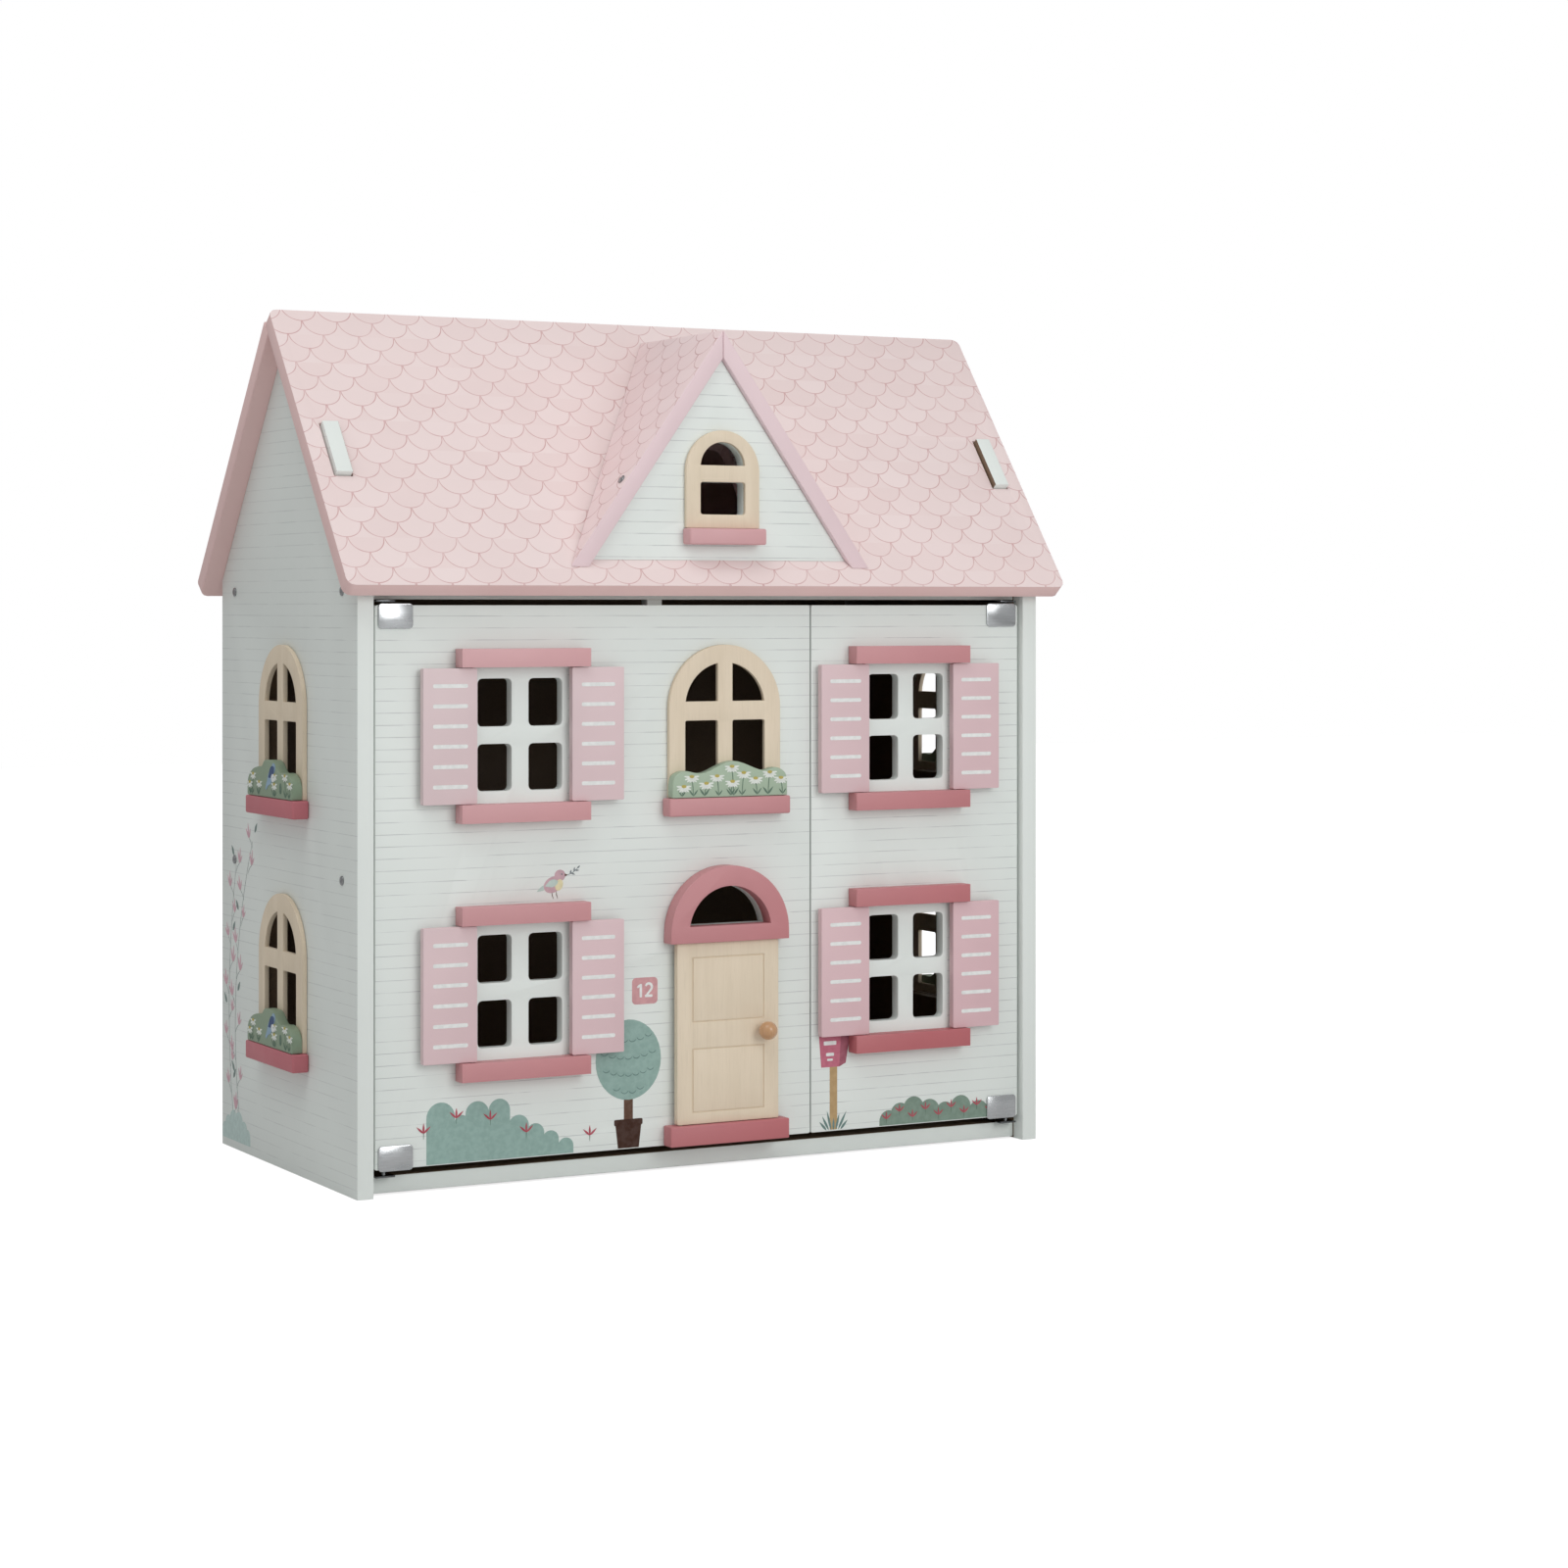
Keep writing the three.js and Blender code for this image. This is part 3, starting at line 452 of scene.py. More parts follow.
def brushed_steel(name, colour, along=X_AXIS):
    """Steel with fine strokes along an axis, and duller where it is smudged."""
    tree = Tree(name, 0.25, 1.0)
    long_way = tuple(0.03 if a else 1.0 for a in along)
    strokes = tree.noise(tree.stretch(tree.place, long_way), 2600.0, 2.0)
    smudges = tree.noise(tree.place, 60.0)
    body = tree.mix(tree.ramp(strokes, 0.35, 0.65), darker(colour, 0.12), colour)
    dulled = tree.mix(tree.ramp(smudges, 0.45, 0.75, 0.0, 0.5), body, darker(colour, 0.25))
    return tree.finish(dulled, strokes, 0.15, 0.05 * MM, tree.ramp(smudges, 0.3, 0.7, 0.17, 0.3))


def ink(name, colour):
    """Printed or brushed-on picture paint, a little uneven."""
    tree = Tree(name)
    tree.shader.inputs["Specular IOR Level"].default_value = 0.2
    blotches = tree.ramp(tree.noise(tree.place, 260.0, 3.0), 0.3, 0.7)
    body = tree.mix(blotches, darker(colour, 0.1), lighter(colour, 0.02))
    strokes = tree.noise(tree.place, 900.0, 2.0)
    return tree.finish(body, strokes, 0.1, roughness=paint_roughness(tree, 0.55))


SLAT_WHITE = ink("slat_white", srgb(240, 242, 240))
PETAL_WHITE = ink("petal_white", srgb(232, 237, 230))
HEART_YELLOW = ink("heart_yellow", srgb(190, 175, 95))
STEM_GREEN = ink("stem_green", srgb(100, 124, 108))
LEAF_TEAL = ink("leaf_teal", srgb(152, 182, 174))
LEAF_DARK = ink("leaf_dark", srgb(112, 140, 135))
BUSH_GREEN = ink("bush_green", srgb(130, 152, 138))
PLAQUE_PINK = ink("plaque_pink", srgb(214, 162, 165))
BOX_PINK = ink("box_pink", srgb(200, 114, 134))
BOX_SHADE = ink("box_shade", srgb(168, 98, 114))
TRUNK_BROWN = ink("trunk_brown", srgb(100, 72, 57))
POT_BROWN = ink("pot_brown", srgb(66, 38, 26))
POST_TAN = ink("post_tan", srgb(190, 160, 116))
BERRY_RED = ink("berry_red", srgb(184, 84, 98))
BIRD_MINT = ink("bird_mint", srgb(196, 214, 207))
BIRD_THROAT = ink("bird_throat", srgb(232, 237, 235))
BIRD_YELLOW = ink("bird_yellow", srgb(232, 224, 182))
BIRD_PINK = ink("bird_pink", srgb(206, 172, 180))
BIRD_BLUE_PALE = ink("bird_blue_pale", srgb(150, 178, 200))
BIRD_BLUE_DARK = ink("bird_blue_dark", srgb(70, 92, 130))
TWIG_GREY = ink("twig_grey", srgb(124, 133, 138))
VINE_GREY = ink("vine_grey", srgb(150, 160, 158))
VINE_PINK = ink("vine_pink", srgb(218, 180, 190))
VINE_DARK = ink("vine_dark", srgb(128, 146, 142))
VINE_TEAL = ink("vine_teal", srgb(196, 216, 212))


# ---- Surfaces of the CAD nodes ----
def smooth_group():
    """Geometry nodes that shade a mesh smooth except across its sharp edges."""
    group = bpy.data.node_groups.new("smooth_by_angle", "GeometryNodeTree")
    group.interface.new_socket("Geometry", in_out="INPUT", socket_type="NodeSocketGeometry")
    group.interface.new_socket("Geometry", in_out="OUTPUT", socket_type="NodeSocketGeometry")
    start = group.nodes.new("NodeGroupInput")
    end = group.nodes.new("NodeGroupOutput")
    angle = group.nodes.new("GeometryNodeInputMeshEdgeAngle")
    blunt = group.nodes.new("FunctionNodeCompare")
    blunt.operation = "LESS_THAN"
    blunt.inputs[1].default_value = SHARP
    edges = group.nodes.new("GeometryNodeSetShadeSmooth")
    edges.domain = "EDGE"
    faces = group.nodes.new("GeometryNodeSetShadeSmooth")
    faces.domain = "FACE"
    group.links.new(angle.outputs["Unsigned Angle"], blunt.inputs[0])
    group.links.new(start.outputs[0], edges.inputs["Geometry"])
    group.links.new(blunt.outputs[0], edges.inputs["Shade Smooth"])
    group.links.new(edges.outputs[0], faces.inputs["Geometry"])
    group.links.new(faces.outputs[0], end.inputs[0])
    return group


SMOOTH = smooth_group()


def join_facets(node):
    weld = node.modifiers.new("weld", "WELD")
    weld.merge_threshold = 0.01 * MM


def shade(node):
    modifier = node.modifiers.new("smooth by angle", "NODES")
    modifier.node_group = SMOOTH


def round_edges(node, width, segments):
    """A sanded edge of the given width on every sharp edge."""
    join_facets(node)
    flat = node.modifiers.new("flat faces", "DECIMATE")
    flat.decimate_type = "DISSOLVE"
    flat.angle_limit = math.radians(0.5)
    bevel = node.modifiers.new("sanded edges", "BEVEL")
    bevel.width = width
    bevel.segments = segments
    bevel.limit_method = "ANGLE"
    bevel.angle_limit = SHARP
    shade(node)


def dress(names, material, edge, segments=3):
    for name in names:
        NODES[name].data.materials[0] = material
        round_edges(NODES[name], edge, segments)


def names_with(*parts):
    return [name for name in sorted(NODES) if all(part in name for part in parts)]


def window_boxes(door):
    """The plain white ground between sill and lintel of a door's two shuttered windows."""
    boxes = []
    for floor in ("upper", "lower"):
        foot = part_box(f"{floor}_{door}_window_sill")[0].z
        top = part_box(f"{floor}_{door}_window_lintel")[0].z + LINTEL_LAP
        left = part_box(f"{floor}_{door}_window_left_shutter")[1].x
        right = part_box(f"{floor}_{door}_window_right_shutter")[0].x
        boxes.append((left, right, foot, top))
    return boxes


def side_window_boxes(side):
    """The outlines of a side panel's two arched windows."""
    boxes = []
    for floor in ("upper", "lower"):
        low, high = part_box(f"{side}_side_{floor}_window_frame")
        boxes.append((low.y, high.y, low.z, high.z))
    return boxes


def dress_walls():
    front, back = LEFT_DOOR_LOW.y, LEFT_DOOR_HIGH.y
    for door in ("left", "right"):
        paint = sided_wall(f"{door}_door_paint", Y_AXIS, front, back, 0.8, window_boxes(door))
        dress([f"{door}_door_panel"], paint, edge=0.5 * MM)
    sides = (("left", SIDE_LOW.x, SIDE_HIGH.x), ("right", RIGHT_SIDE_HIGH.x, RIGHT_SIDE_LOW.x))
    for side, outer, inner in sides:
        openings = side_window_boxes(side)
        paint = sided_wall(f"{side}_side_paint", X_AXIS, outer, inner, 0.5, bare_boxes=openings)
        dress([f"side_panel_{side}"], paint, edge=0.8 * MM)
    dormer_low, dormer_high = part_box("dormer_front")
    dormer = sided_wall("dormer_front_paint", Y_AXIS, dormer_low.y, dormer_high.y, 0.9)
    dress(["dormer_front"], dormer, edge=0.4 * MM)
    for name in ("base_board", "middle_floor", "attic_floor"):
        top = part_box(name)[1].z
        dress([name], lined_board(f"{name}_paint", Z_AXIS, (top, top - BOARD)), edge=0.6 * MM)
    back_paint = lined_board("back_panel_paint", Y_AXIS, (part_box("back_panel")[0].y,))
    dress(["back_panel"], back_paint, edge=0.6 * MM)


def dress_roof():
    cosine, sine = math.cos(ROOF_PITCH), math.sin(ROOF_PITCH)
    rear_low, rear_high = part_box("rear_roof_panel")
    eaves = (("front", 1, ROOF_LOW.y, ROOF_LOW.z), ("rear", -1, rear_high.y, rear_low.z))
    for end, inward, y, z in eaves:
        slope, normal = (0, inward * cosine, sine), (0, -inward * sine, cosine)
        foot = Vector((0, y, z + BOARD * cosine))
        paint = scaled_roof(f"{end}_roof_paint", X_AXIS, slope, normal, foot, ROOF_BASE, ROOF_EDGE)
        dress([f"{end}_roof_panel"], paint, edge=1.0 * MM)
    cosine, sine = math.cos(DORMER_PITCH), math.sin(DORMER_PITCH)
    for side, name in ((-1, "left"), (1, "right")):
        low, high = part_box(f"dormer_roof_{name}")
        slope, normal = (-side * cosine, 0, sine), (side * sine, 0, cosine)
        foot = Vector((low.x if side < 0 else high.x, 0, low.z))
        # The dormer boards' paler ground is painted light.
        paint = scaled_roof(f"dormer_{name}_paint", Y_AXIS, slope, normal, foot, DORMER_LIT_BASE, DORMER_EDGE)
        dress([f"dormer_roof_{name}"], paint, edge=0.9 * MM)


def dress_trims():
    side_sills = names_with("_side_", "_sill")
    front_sills = [name for name in names_with("_sill") if name not in side_sills]
    trims = names_with("window_lintel") + front_sills + ["fanlight", "doorstep"]
    # The lintels, front sills, fanlight, doorstep and shutters get a painted sheen that makes them paler
    # towards the upper left.
    dress(trims, trim_paint("trim_paint", TRIM_SHEEN_PALE, TRIM_DEEP), edge=1.3 * MM)
    dress(side_sills, plain_paint("side_sill_paint", SIDE_SILL_PINK), edge=1.3 * MM)
    dress(names_with("shutter"), trim_paint("shutter_paint", SHUTTER_SHEEN_PALE, SHUTTER_DEEP), edge=0.6 * MM)
    side_hedges = names_with("_side_", "hedge")
    # The side hedges are painted darker than the front one: painted shade.
    dress(side_hedges, plain_paint("side_hedge_shaded_paint", SIDE_HEDGE_SHADED_GREEN), edge=0.8 * MM)
    dress(["arched_window_hedge"], plain_paint("hedge_paint", HEDGE_GREEN), edge=0.8 * MM)


def dress_wood():
    dress(names_with("window_frame"), wood("frame_wood", BARE_WOOD), edge=0.5 * MM)
    dress(["entrance_door"], wood("door_wood", BARE_WOOD), edge=0.45 * MM)
    knob = NODES["entrance_door_knob"]
    knob.data.materials[0] = wood("knob_wood", KNOB_WOOD, 0.3, 0.6)
    join_facets(knob)
    rounder = knob.modifiers.new("turned surface", "SUBSURF")
    rounder.levels = 2
    rounder.render_levels = 2
    shade(knob)


def dress_steel():
    plates = brushed_steel("plate_steel", STEEL_GREY)
    dress(names_with("_plate"), plates, edge=0.25 * MM, segments=2)
    # The pivots get darker steel: painted shade.
    dress(names_with("_pivot"), brushed_steel("pivot_shaded_steel", PIVOT_SHADED_GREY), edge=0.2 * MM, segments=2)
    dress(names_with("ridge_hinge"), plates, edge=0.15 * MM, segments=1)


# ---- Flat painted pictures ----
class Wall:
    """A flat face to draw on: millimetres to the right of and above its origin, seen from outside."""

    def __init__(self, origin, right, out):
        self.origin = Vector(origin)
        self.right = Vector(right)
        self.out = Vector(out)

    def point(self, across, up, height):
        return self.origin + (self.right * across + Vector((0, 0, up)) + self.out * height) * MM


def circle_points(steps):
    turns = [2 * math.pi * i / steps for i in range(steps)]
    return [(math.cos(turn), math.sin(turn)) for turn in turns]


def oval(x, y, half_width, half_height, turn=0.0, steps=20):
    """An ellipse, turned by degrees."""
    cosine, sine = math.cos(math.radians(turn)), math.sin(math.radians(turn))
    points = [(half_width * a, half_height * b) for a, b in circle_points(steps)]
    return [(x + a * cosine - b * sine, y + a * sine + b * cosine) for a, b in points]


def leaf(x, y, length, width, turn, steps=8):
    """A pointed leaf that grows from x, y in the direction turn, in degrees."""
    cosine, sine = math.cos(math.radians(turn)), math.sin(math.radians(turn))
    along = [i / steps for i in range(steps + 1)]
    edge = [(t * length, 0.5 * width * math.sin(math.pi * t ** 0.8)) for t in along]
    outline = edge[:-1] + [(a, -b) for a, b in reversed(edge)][:-1]
    return [(x + a * cosine - b * sine, y + a * sine + b * cosine) for a, b in outline]


def rounded_box(x0, x1, y0, y1, radius):
    steps = 4
    corners = ((x1, y1, -1, -1), (x0, y1, 1, -1), (x0, y0, 1, 1), (x1, y0, -1, 1))
    outline = []
    for quarter, (x, y, inward_x, inward_y) in enumerate(corners):
        for i in range(steps + 1):
            angle = (quarter + i / steps) * math.pi / 2
            outline.append((x + inward_x * radius + radius * math.cos(angle),
                            y + inward_y * radius + radius * math.sin(angle)))
    return outline


def stroke(points, width, tip=0.35):
    """A brush stroke along points, thinner at its ends."""
    left, right = [], []
    last = len(points) - 1
    for i, (x, y) in enumerate(points):
        x0, y0 = points[max(i - 1, 0)]
        x1, y1 = points[min(i + 1, last)]
        length = math.hypot(x1 - x0, y1 - y0)
        half = 0.5 * width * (tip + (1 - tip) * math.sin(math.pi * i / last) ** 0.5)
        across = (-(y1 - y0) / length * half, (x1 - x0) / length * half)
        left.append((x + across[0], y + across[1]))
        right.append((x - across[0], y - across[1]))
    return left + right[::-1]


def curve(start, control, end, steps=8):
    """Points along a soft bend from start to end."""
    points = []
    for i in range(steps + 1):
        t = i / steps
        points.append(tuple((1 - t) ** 2 * a + 2 * t * (1 - t) * b + t * t * c
                            for a, b, c in zip(start, control, end)))
    return points


class Picture:
    """Thin closed slabs of paint on a wall. A shape on a higher layer lies over those below it."""

    BASE = 0.02  # millimetres between the wall and the paint
    THICKNESS = 0.08
    STEP = 0.05
    NUDGE = 0.00002  # per face made so far, so that no two slabs end level

    def __init__(self, name, body, wall):
        self.name = name
        self.body = body
        self.wall = wall
        self.mesh = bmesh.new()
        self.paints = []

    def add(self, outline, paint, layer=0):
        if paint not in self.paints:
            self.paints.append(paint)
        area = sum(a[0] * b[1] - b[0] * a[1] for a, b in zip(outline, outline[1:] + outline[:1]))
        ordered = outline if area > 0 else outline[::-1]
        top_height = self.BASE + self.THICKNESS + self.STEP * layer + self.NUDGE * len(self.mesh.faces)
        low = [self.mesh.verts.new(self.wall.point(x, y, self.BASE)) for x, y in ordered]
        top = [self.mesh.verts.new(self.wall.point(x, y, top_height)) for x, y in ordered]
        faces = [self.mesh.faces.new(top), self.mesh.faces.new(low[::-1])]
        for i in range(len(ordered)):
            j = (i + 1) % len(ordered)
            faces.append(self.mesh.faces.new((low[i], low[j], top[j], top[i])))
        for face in faces:
            face.material_index = self.paints.index(paint)

    def finish(self, slot):
        bmesh.ops.recalc_face_normals(self.mesh, faces=self.mesh.faces)
        data = bpy.data.meshes.new(self.name)
        self.mesh.to_mesh(data)
        self.mesh.free()
        for paint in self.paints:
            data.materials.append(paint)
        piece = bpy.data.objects.new(self.name, data)
        bpy.context.scene.collection.objects.link(piece)
        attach(piece, self.body)


def front_wall(y, x=0.0, z=0.0):
    return Wall((x, y, z), X_AXIS, (0, -1, 0))


def paint_slats():
    """Pale slats painted on each shutter."""
    for name in names_with("shutter"):
        low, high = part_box(name)
        wall = front_wall(low.y, (low.x + high.x) / 2, (low.z + high.z) / 2)
        picture = Picture(f"{name}_slats", name, wall)
        for i in range(SLATS):
            height = (i - (SLATS - 1) / 2) * SLAT_PITCH
            foot, top = height - SLAT_HALF_HEIGHT, height + SLAT_HALF_HEIGHT
            picture.add(rounded_box(SLAT_LEFT, SLAT_RIGHT, foot, top, 1.1), SLAT_WHITE)
        picture.finish("white_paint")


def add_daisy(picture, x, y, petals):
    """A daisy seen from the side: petals that hang in a fan from a flat oval heart."""
    fan_start, fan_width = 172, 196
    for i in range(petals):
        turn = math.radians(fan_start + fan_width * i / (petals - 1))
        reach = 1.7 + 1.5 * abs(math.cos(turn)) ** 1.5
        middle = (x + math.cos(turn) * reach, y + math.sin(turn) * reach)
        picture.add(oval(*middle, 0.95 * reach, 0.75, math.degrees(turn), 12), PETAL_WHITE, 2)
    picture.add(oval(x, y + 0.7, 2.0, 1.15, 0, 14), HEART_YELLOW, 3)


def add_stem(picture, x, top, lean):
    bend = curve((x + lean, STEM_FOOT), (x + lean, top * 0.6), (x, top - 1.5))
    picture.add(stroke(bend, 0.6), STEM_GREEN, 1)


def add_leaf_pair(picture, x, size):
    for turn in (52, 128):
        picture.add(leaf(x, STEM_FOOT, size, size * 0.2, turn), STEM_GREEN, 1)


def add_daisies(picture, daisies, petals):
    """Daisies on stems that lean to either side by turns, each with a pair of leaves at its foot."""
    for i, (x, y) in enumerate(daisies):
        side = 1 if i % 2 else -1
        add_stem(picture, x, y, 1.2 * side)
        add_leaf_pair(picture, x + 1.4 * side, 5.0 + i % 3)
        add_daisy(picture, x, y, petals)


def paint_front_hedge():
    low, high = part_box("arched_window_hedge")
    wall = front_wall(low.y, (low.x + high.x) / 2, low.z)
    picture = Picture("front_hedge_flowers", "left_door", wall)
    daisies = (
        (-38.4, 7.7), (-32, 14.8), (-20, 9.6), (-11.2, 14.8), (1.6, 10.5),
        (1.1, 21.5), (10.9, 16.7), (20.7, 12.4), (32.6, 16.7), (42, 12.4),
    )
    add_daisies(picture, daisies, 9)
    picture.finish("hedge_paint")


def add_songbird(picture, x, y):
    """A small blue bird that sits on the hedge."""
    picture.add(oval(x + 5, y + 2, 9.5, 4.4, 42), BIRD_BLUE_PALE, 2)
    picture.add(oval(x + 10.8, y + 8.2, 3.6, 3.3), BIRD_BLUE_PALE, 2)
    picture.add(stroke([(x + 2, y), (x - 2, y - 4), (x - 5.6, y - 8)], 4.0, 0.5), BIRD_BLUE_PALE, 2)
    picture.add(leaf(x + 12.5, y + 8.4, 15, 8, 212), BIRD_BLUE_DARK, 3)
    picture.add(oval(x + 9.5, y + 0.5, 3.6, 3.0), BIRD_THROAT, 3)
    picture.add(oval(x + 11.0, y + 1.0, 0.7, 0.6, 0, 10), TWIG_GREY, 4)


def paint_side_hedges():
    daisies = ((-34, 15.5), (-41, 9), (-21, 10), (11, 16), (11, 9.5), (33, 16.5), (43, 11))
    for side, right, out in (("left", (0, -1, 0), (-1, 0, 0)), ("right", Y_AXIS, X_AXIS)):
        for floor in ("upper", "lower"):
            low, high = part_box(f"{side}_side_{floor}_window_hedge")
            face = low.x if side == "left" else high.x
            wall = Wall((face, (low.y + high.y) / 2, low.z), right, out)
            picture = Picture(f"{side}_{floor}_hedge_flowers", "house", wall)
            add_daisies(picture, daisies, 7)
            picture.add(oval(24, 7.5, 2.3, 4), STEM_GREEN, 1)
            add_songbird(picture, -1, 14)
            picture.finish("hedge_paint")


def arc_line(x, y, radius, start, end, steps=8):
    """Points on a circle, with angles in degrees."""
    turns = [math.radians(start + (end - start) * i / steps) for i in range(steps + 1)]
    return [(x + radius * math.cos(t), y + radius * math.sin(t)) for t in turns]


def add_house_number(picture):
    """A small plate with the number 12."""
    left, right, low, high = -66, -45.4, 123.2, 142.5
    picture.add(rounded_box(left, right, low, high, 3), PLAQUE_PINK, 0)
    base, top = low + 5, high - 4.5
    one = left + 7
    picture.add(rounded_box(one - 1.0, one + 1.0, base, top, 0.6), SLAT_WHITE, 1)
    flag = [(one - 2.8, top - 2.6), (one - 1.4, top - 1.5), (one, top - 0.8)]
    picture.add(stroke(flag, 1.8, 0.7), SLAT_WHITE, 2)
    two = left + 13.4
    bow = arc_line(two, top - 2.6, 2.6, 160, -35) + [(two - 2.4, base + 0.6)]
    picture.add(stroke(bow, 2.0, 0.7), SLAT_WHITE, 1)
    picture.add(rounded_box(two - 3.1, two + 3.1, base - 0.1, base + 1.8, 0.6), SLAT_WHITE, 2)


def add_topiary(picture):
    """A clipped oval tree in a pot, with rows of leaf marks."""
    middle, crown = -69, 83.6
    half_width, half_height = 26.3, 29.1
    picture.add(rounded_box(middle - 3.6, middle + 3.6, 37, 62, 1.2), TRUNK_BROWN, 0)
    picture.add(oval(middle, crown, half_width, half_height, 0, 36), LEAF_TEAL, 1)
    for i in range(4):
        height = 60.5 + 12.5 * i
        half = 25 * math.sqrt(1 - ((height - crown) / half_height) ** 2) - 2.5
        marks = max(3, round(half / 3.0))
        for k in range(marks):
            x = middle - half + (k + 0.5) * 2 * half / marks
            sag = 5 * ((x - middle) / half) ** 2
            cup = arc_line(x, height + sag + 1.5, half / marks, 205, 335, 6)
            picture.add(stroke(cup, 0.7), LEAF_DARK, 2)
    rim = 36.5
    foot = [(middle - 8.4, GROUND), (middle + 8.4, GROUND)]
    picture.add(foot + [(middle + 10.4, rim), (middle - 10.4, rim)], POT_BROWN, 0)
    picture.add(rounded_box(middle - 11.4, middle + 11.4, rim - 0.5, rim + 4, 1), POT_BROWN, 1)


def add_perched_bird(picture):
    """A plain small bird in profile, with a leafy twig in its beak, standing on the lower left lintel."""
    x, y = -129, 212
    picture.add(leaf(x - 3, y + 1, 11, 3.4, 205), BIRD_MINT, 0)
    picture.add(oval(x, y + 1, 7.6, 5.6, 24, 28), BIRD_PINK, 1)
    picture.add(oval(x + 5.4, y + 7.4, 4.3, 4.1, 0, 24), BIRD_PINK, 1)
    picture.add(oval(x + 4.6, y + 0.6, 3.0, 4.2, -20), BIRD_YELLOW, 2)
    picture.add(leaf(x + 4, y + 3.4, 11, 5.4, 198), BIRD_MINT, 3)
    picture.add([(x + 9.2, y + 6.6), (x + 11.8, y + 7.6), (x + 9.2, y + 8.6)], TRUNK_BROWN, 2)
    picture.add(oval(x + 6.8, y + 8.2, 0.6, 0.6, 0, 10), TWIG_GREY, 3)
    beak = (x + 11, y + 7.6)
    tip = (x + 19, y + 12)
    picture.add(stroke(curve(beak, (x + 15, y + 8), tip), 0.45), TWIG_GREY, 3)
    twig_leaves = ((13.5, 8.2, 75), (14.5, 8.6, -20), (16.5, 10, 80), (17.5, 10.6, 0), (19, 12, 40))
    for across, up, turn in twig_leaves:
        picture.add(leaf(x + across, y + up, 3.0, 1.0, turn, 6), TWIG_GREY, 4)
    for foot in (-1, 2.4):
        leg = [(x + foot, y - 3.8), (x + foot + 0.3, y - 6.6), (x + foot + 1.2, y - 9.3)]
        picture.add(stroke(leg, 0.6), TRUNK_BROWN, 0)


def add_bush(picture, humps, ground, paint):
    """Round leafy humps, each given by its middle, its top and its radius, that reach the ground."""
    for i, (x, top, radius) in enumerate(humps):
        crown = arc_line(x, top - radius, radius, 0, 180, 14)
        picture.add([(x - radius, ground), (x + radius, ground)] + crown, paint, i % 2)


def add_sprig(picture, x, y, size):
    """A fan of small narrow leaves on a short stalk."""
    stalk = [(x, y), (x, y + size * 0.5), (x + 0.2, y + size)]
    picture.add(stroke(stalk, 0.5), STEM_GREEN, 3)
    for turn in (42, 90, 138):
        picture.add(leaf(x, y + size * 0.45, size * 0.8, size * 0.16, turn, 6), BERRY_RED, 4)


def paint_left_door():
    picture = Picture("left_door_picture", "left_door", front_wall(LEFT_DOOR_LOW.y))
    add_house_number(picture)
    add_topiary(picture)
    add_perched_bird(picture)
    humps = (
        (-216, 63, 10.8), (-200, 53, 5.5), (-188, 62, 9), (-171, 62.5, 8.3),
        (-156, 50, 8), (-143, 43, 7), (-131, 37, 6.5), (-119, 31, 6),
    )
    add_bush(picture, humps, GROUND, LEAF_TEAL)
    for x, y in ((-204, 47), (-229, 38), (-178, 44), (-150, 33), (-100, 27)):
        add_sprig(picture, x, y, 9)
    picture.finish("hedge_paint")


def add_mailbox(picture):
    """A pink box on a post, with three plain bars on its face and grass round its foot."""
    post = 102
    box = post - 3
    foot, top = 67, 92
    picture.add(rounded_box(post - 3.2, post + 3.2, 20, foot + 1, 0.6), POST_TAN, 0)
    face = [(box - 7.5, foot), (box + 8, foot), (box + 9.5, top), (box - 9.5, top)]
    picture.add(face, BOX_PINK, 1)
    shaded = [(box + 8, foot), (box + 13.5, foot + 2.5), (box + 17.6, top), (box + 9.5, top)]
    picture.add(shaded, BOX_SHADE, 2)
    for y, half_width, half_height in ((85, 5.4, 1.5), (76.5, 3.4, 1.2), (72.5, 2.4, 0.8)):
        bar = rounded_box(box - half_width, box + half_width, y - half_height, y + half_height, 0.6)
        picture.add(bar, SLAT_WHITE, 3)
    for i in range(7):
        blade = leaf(post - 6 + 2 * i, GROUND + 0.2, 9 + 3 * (i % 3), 1.8, 132 - 14 * i, 6)
        picture.add(blade, LEAF_DARK, 2)


def paint_right_door():
    wall = front_wall(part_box("right_door_panel")[0].y)
    picture = Picture("right_door_picture", "right_door", wall)
    add_mailbox(picture)
    humps = (
        (150, 31, 8), (160, 36, 8), (172, 40, 9), (186, 37, 9),
        (200, 34, 8), (214, 38, 9), (230, 33, 9), (246, 29, 8),
    )
    add_bush(picture, humps, GROUND, BUSH_GREEN)
    for i in range(9):
        add_sprig(picture, 148 + 11.5 * i, 21 + 5 * (i % 2), 7.5)
    picture.finish("hedge_paint")


def add_vine_sprig(picture, draw, x, height, side):
    """Three pale leaves in a fan, at the end of a short stalk on one side of the stem."""
    root = (x + side * draw.uniform(5, 9), height + 2)
    picture.add(stroke(curve((x, height - 5), (x + side * 3, height), root), 0.45), VINE_GREY, 0)
    lean = 90 - side * draw.uniform(0, 22)
    size = draw.uniform(10, 13)
    for k, (turn, share) in enumerate(((-34, 0.7), (0, 1.0), (30, 0.85))):
        picture.add(leaf(*root, size * share, size * 0.17, lean + turn), VINE_PINK, k + 1)


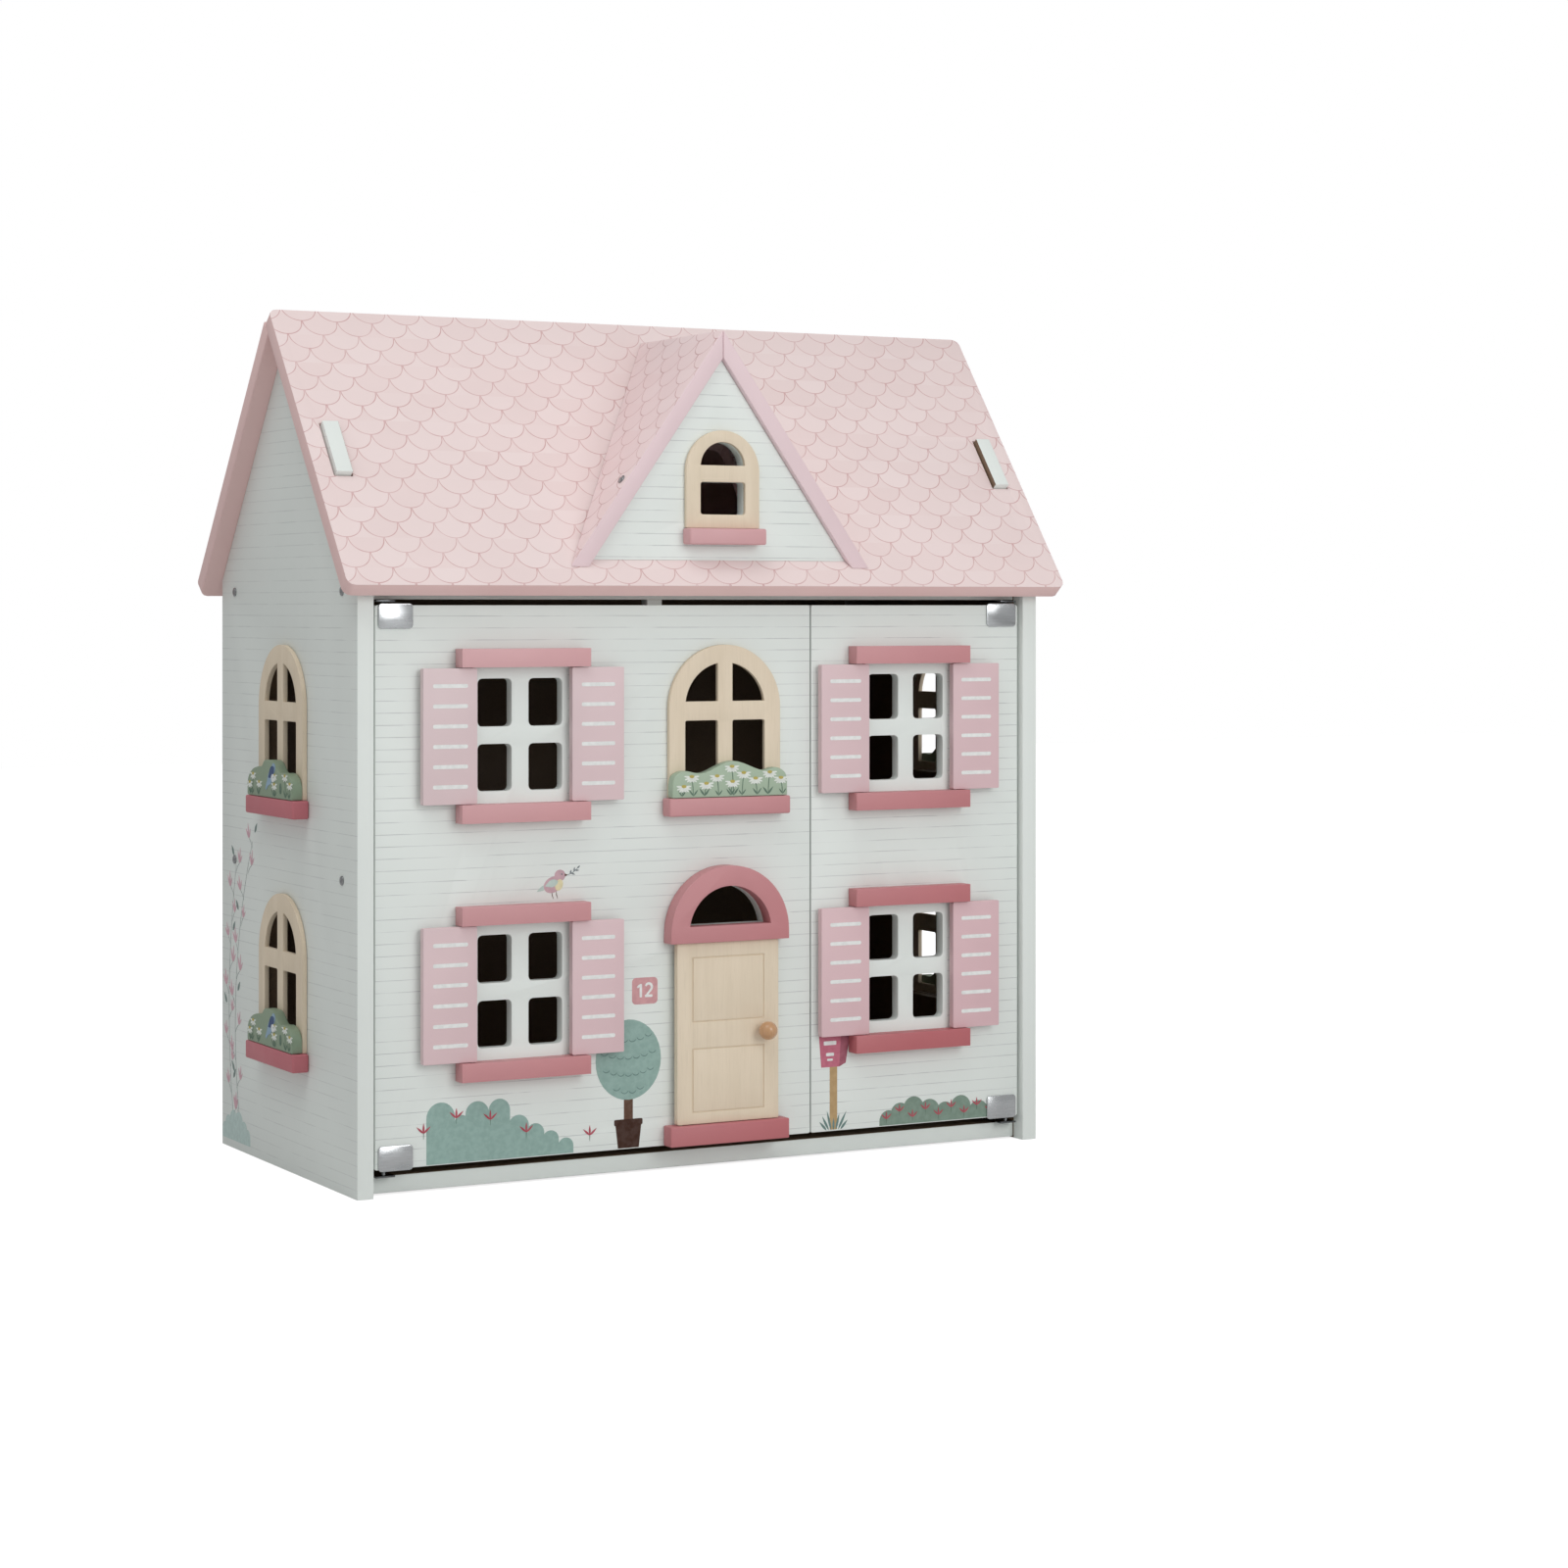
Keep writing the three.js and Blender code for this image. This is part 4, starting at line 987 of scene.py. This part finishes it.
def paint_vine():
    """Two thin winding stems up the left side panel, with leaves to either side by turns."""
    wall = Wall((SIDE_LOW.x, 0, 0), (0, -1, 0), (-1, 0, 0))
    picture = Picture("side_vine", "house", wall)
    draw = random.Random(7)
    stems = (((-112, 10), (-140, 110), (-109, 216)), ((-98, 10), (-134, 125), (-73, 236)))
    for first_side, stem in zip((1, -1), stems):
        points = curve(*stem, steps=11)
        picture.add(stroke(points, 0.55, 0.6), VINE_GREY, 0)
        for i, (x, height) in enumerate(points[1:]):
            side = -first_side if i % 2 else first_side
            add_vine_sprig(picture, draw, x, height, side)
            if i % 3 == 1:
                picture.add(leaf(x - side * 5, height + 7, 9, 3.4, 90 + side * 35), VINE_DARK, 1)
    humps = ((-134, 18, 6), (-126, 24, 7), (-115, 29, 8), (-103, 29, 8), (-92, 23, 7), (-84, 18, 6))
    add_bush(picture, humps, 6, VINE_TEAL)
    picture.finish("hedge_paint")


# ---- Screws ----
def lathe(name, profile):
    """A closed turned body round Z from (radius, height) pairs that start and end on the axis."""
    steps = 24
    mesh = bmesh.new()
    rings = []
    for radius, height in profile:
        if radius == 0:
            rings.append([mesh.verts.new((0, 0, height * MM))])
        else:
            rings.append([mesh.verts.new((radius * MM * x, radius * MM * y, height * MM))
                          for x, y in circle_points(steps)])
    for low, high in zip(rings, rings[1:]):
        for i in range(steps):
            j = (i + 1) % steps
            corners = [low[i % len(low)], low[j % len(low)], high[j % len(high)], high[i % len(high)]]
            mesh.faces.new(list(dict.fromkeys(corners)))
    bmesh.ops.recalc_face_normals(mesh, faces=mesh.faces)
    data = bpy.data.meshes.new(name)
    mesh.to_mesh(data)
    mesh.free()
    for polygon in data.polygons:
        polygon.use_smooth = True
    return data


def screw_head(name, place, out, body, material):
    """An oval-head screw: a low dome with a round recess, standing out of a board's face."""
    recess = ((0, 0.1), (0.9, 0.1), (1.1, 0.75))
    dome = ((2.2, 0.62), (3.2, 0.25), (3.4, 0.02), (3.2, -0.6), (0, -0.6))
    data = lathe(name, recess + dome)
    data.materials.append(material)
    piece = bpy.data.objects.new(name, data)
    bpy.context.scene.collection.objects.link(piece)
    piece.rotation_mode = "QUATERNION"
    piece.rotation_quaternion = Vector(Z_AXIS).rotation_difference(Vector(out))
    piece.location = Vector(place) + Vector(out) * SCREW_RISE
    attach(piece, body)


def add_screws():
    grey = brushed_steel("screw_steel", SCREW_GREY, Z_AXIS)
    rows = {"front": SIDE_LOW.y + SCREW_INSET, "rear": SIDE_HIGH.y - SCREW_INSET}
    for floor in ("middle_floor", "attic_floor"):
        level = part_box(floor)[1].z - BOARD / 2
        for end, y in rows.items():
            for side, x, out in (("left", SIDE_LOW.x, -1), ("right", RIGHT_SIDE_HIGH.x, 1)):
                screw_head(f"{floor}_{side}_{end}_screw", (x, y, level), (out, 0, 0), "house", grey)
    for side, name in ((-1, "left"), (1, "right")):
        low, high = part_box(f"dormer_roof_{name}")
        foot, apex = (low.x, high.x) if side < 0 else (high.x, low.x)
        x = foot + (apex - foot) * BOLT_SHARE
        z = low.z + (high.z - low.z) * BOLT_SHARE
        normal = (side * math.sin(DORMER_PITCH), 0, math.cos(DORMER_PITCH))
        screw_head(f"dormer_{name}_screw", (x, low.y + BOLT_INSET, z), normal, "roof", grey)


# ---- Stage, light and camera ----
def add_floor():
    mesh = bpy.data.meshes.new("floor")
    signs = ((-1, -1), (1, -1), (1, 1), (-1, 1))
    corners = [(x * FLOOR_HALF, y * FLOOR_HALF, -FLOOR_DROP) for x, y in signs]
    mesh.from_pydata(corners, [], [(0, 1, 2, 3)])
    floor = bpy.data.objects.new("floor", mesh)
    bpy.context.scene.collection.objects.link(floor)
    tree = Tree("floor_paper", 0.9)
    seen = tree.nodes.new("ShaderNodeLightPath").outputs["Is Camera Ray"]
    tree.shader.inputs["Emission Color"].default_value = LIGHT_WHITE
    tree.feed(tree.shader.inputs["Emission Strength"], tree.math("MULTIPLY", seen, FLOOR_GLOW))
    paper = tree.mix(tree.noise(tree.place, 3.0), FLOOR_GREY, FLOOR_PALE)
    mesh.materials.append(tree.finish(paper))


def add_softbox(name, place, target, width, height, power):
    light = bpy.data.lights.new(name, "AREA")
    light.shape = "RECTANGLE"
    light.size = width
    light.size_y = height
    light.energy = power
    lamp = bpy.data.objects.new(name, light)
    lamp.location = place
    lamp.rotation_mode = "QUATERNION"
    lamp.rotation_quaternion = (Vector(target) - Vector(place)).to_track_quat("-Z", "Y")
    bpy.context.scene.collection.objects.link(lamp)


def add_light():
    """A white backdrop, even light, one tall softbox to the right in front and one high to the left."""
    world = bpy.data.worlds.new("studio")
    world.use_nodes = True
    nodes, links = world.node_tree.nodes, world.node_tree.links
    background = nodes["Background"]
    background.inputs["Color"].default_value = LIGHT_WHITE
    seen = nodes.new("ShaderNodeLightPath").outputs["Is Camera Ray"]
    strength = nodes.new("ShaderNodeMapRange")
    strength.inputs["To Min"].default_value = WORLD_LIGHT
    strength.inputs["To Max"].default_value = 1.0
    links.new(seen, strength.inputs["Value"])
    links.new(strength.outputs[0], background.inputs["Strength"])
    bpy.context.scene.world = world
    middle = (cad_box[0] + cad_box[1]) / 2
    add_softbox("key", (0.4, -2.1, 0.95), middle, width=1.0, height=1.3, power=KEY_POWER)
    add_softbox("top", (-0.9, -0.8, 2.3), middle, width=1.6, height=1.6, power=TOP_POWER)


def add_camera():
    """A level camera to the left of the house, turned towards its front."""
    camera = bpy.data.cameras.new("camera")
    camera.sensor_width = 36.0
    camera.lens = CAMERA_LENS
    camera.shift_y = CAMERA_SHIFT
    viewer = bpy.data.objects.new("camera", camera)
    viewer.location = CAMERA_PLACE
    viewer.rotation_euler = (math.radians(90), 0, math.radians(CAMERA_TURN))
    bpy.context.scene.collection.objects.link(viewer)
    bpy.context.scene.camera = viewer


dress_walls()
dress_roof()
dress_trims()
dress_wood()
dress_steel()
paint_slats()
paint_front_hedge()
paint_side_hedges()
paint_left_door()
paint_right_door()
paint_vine()
add_screws()
add_floor()
add_light()
add_camera()
bpy.context.scene.view_settings.view_transform = "Standard"
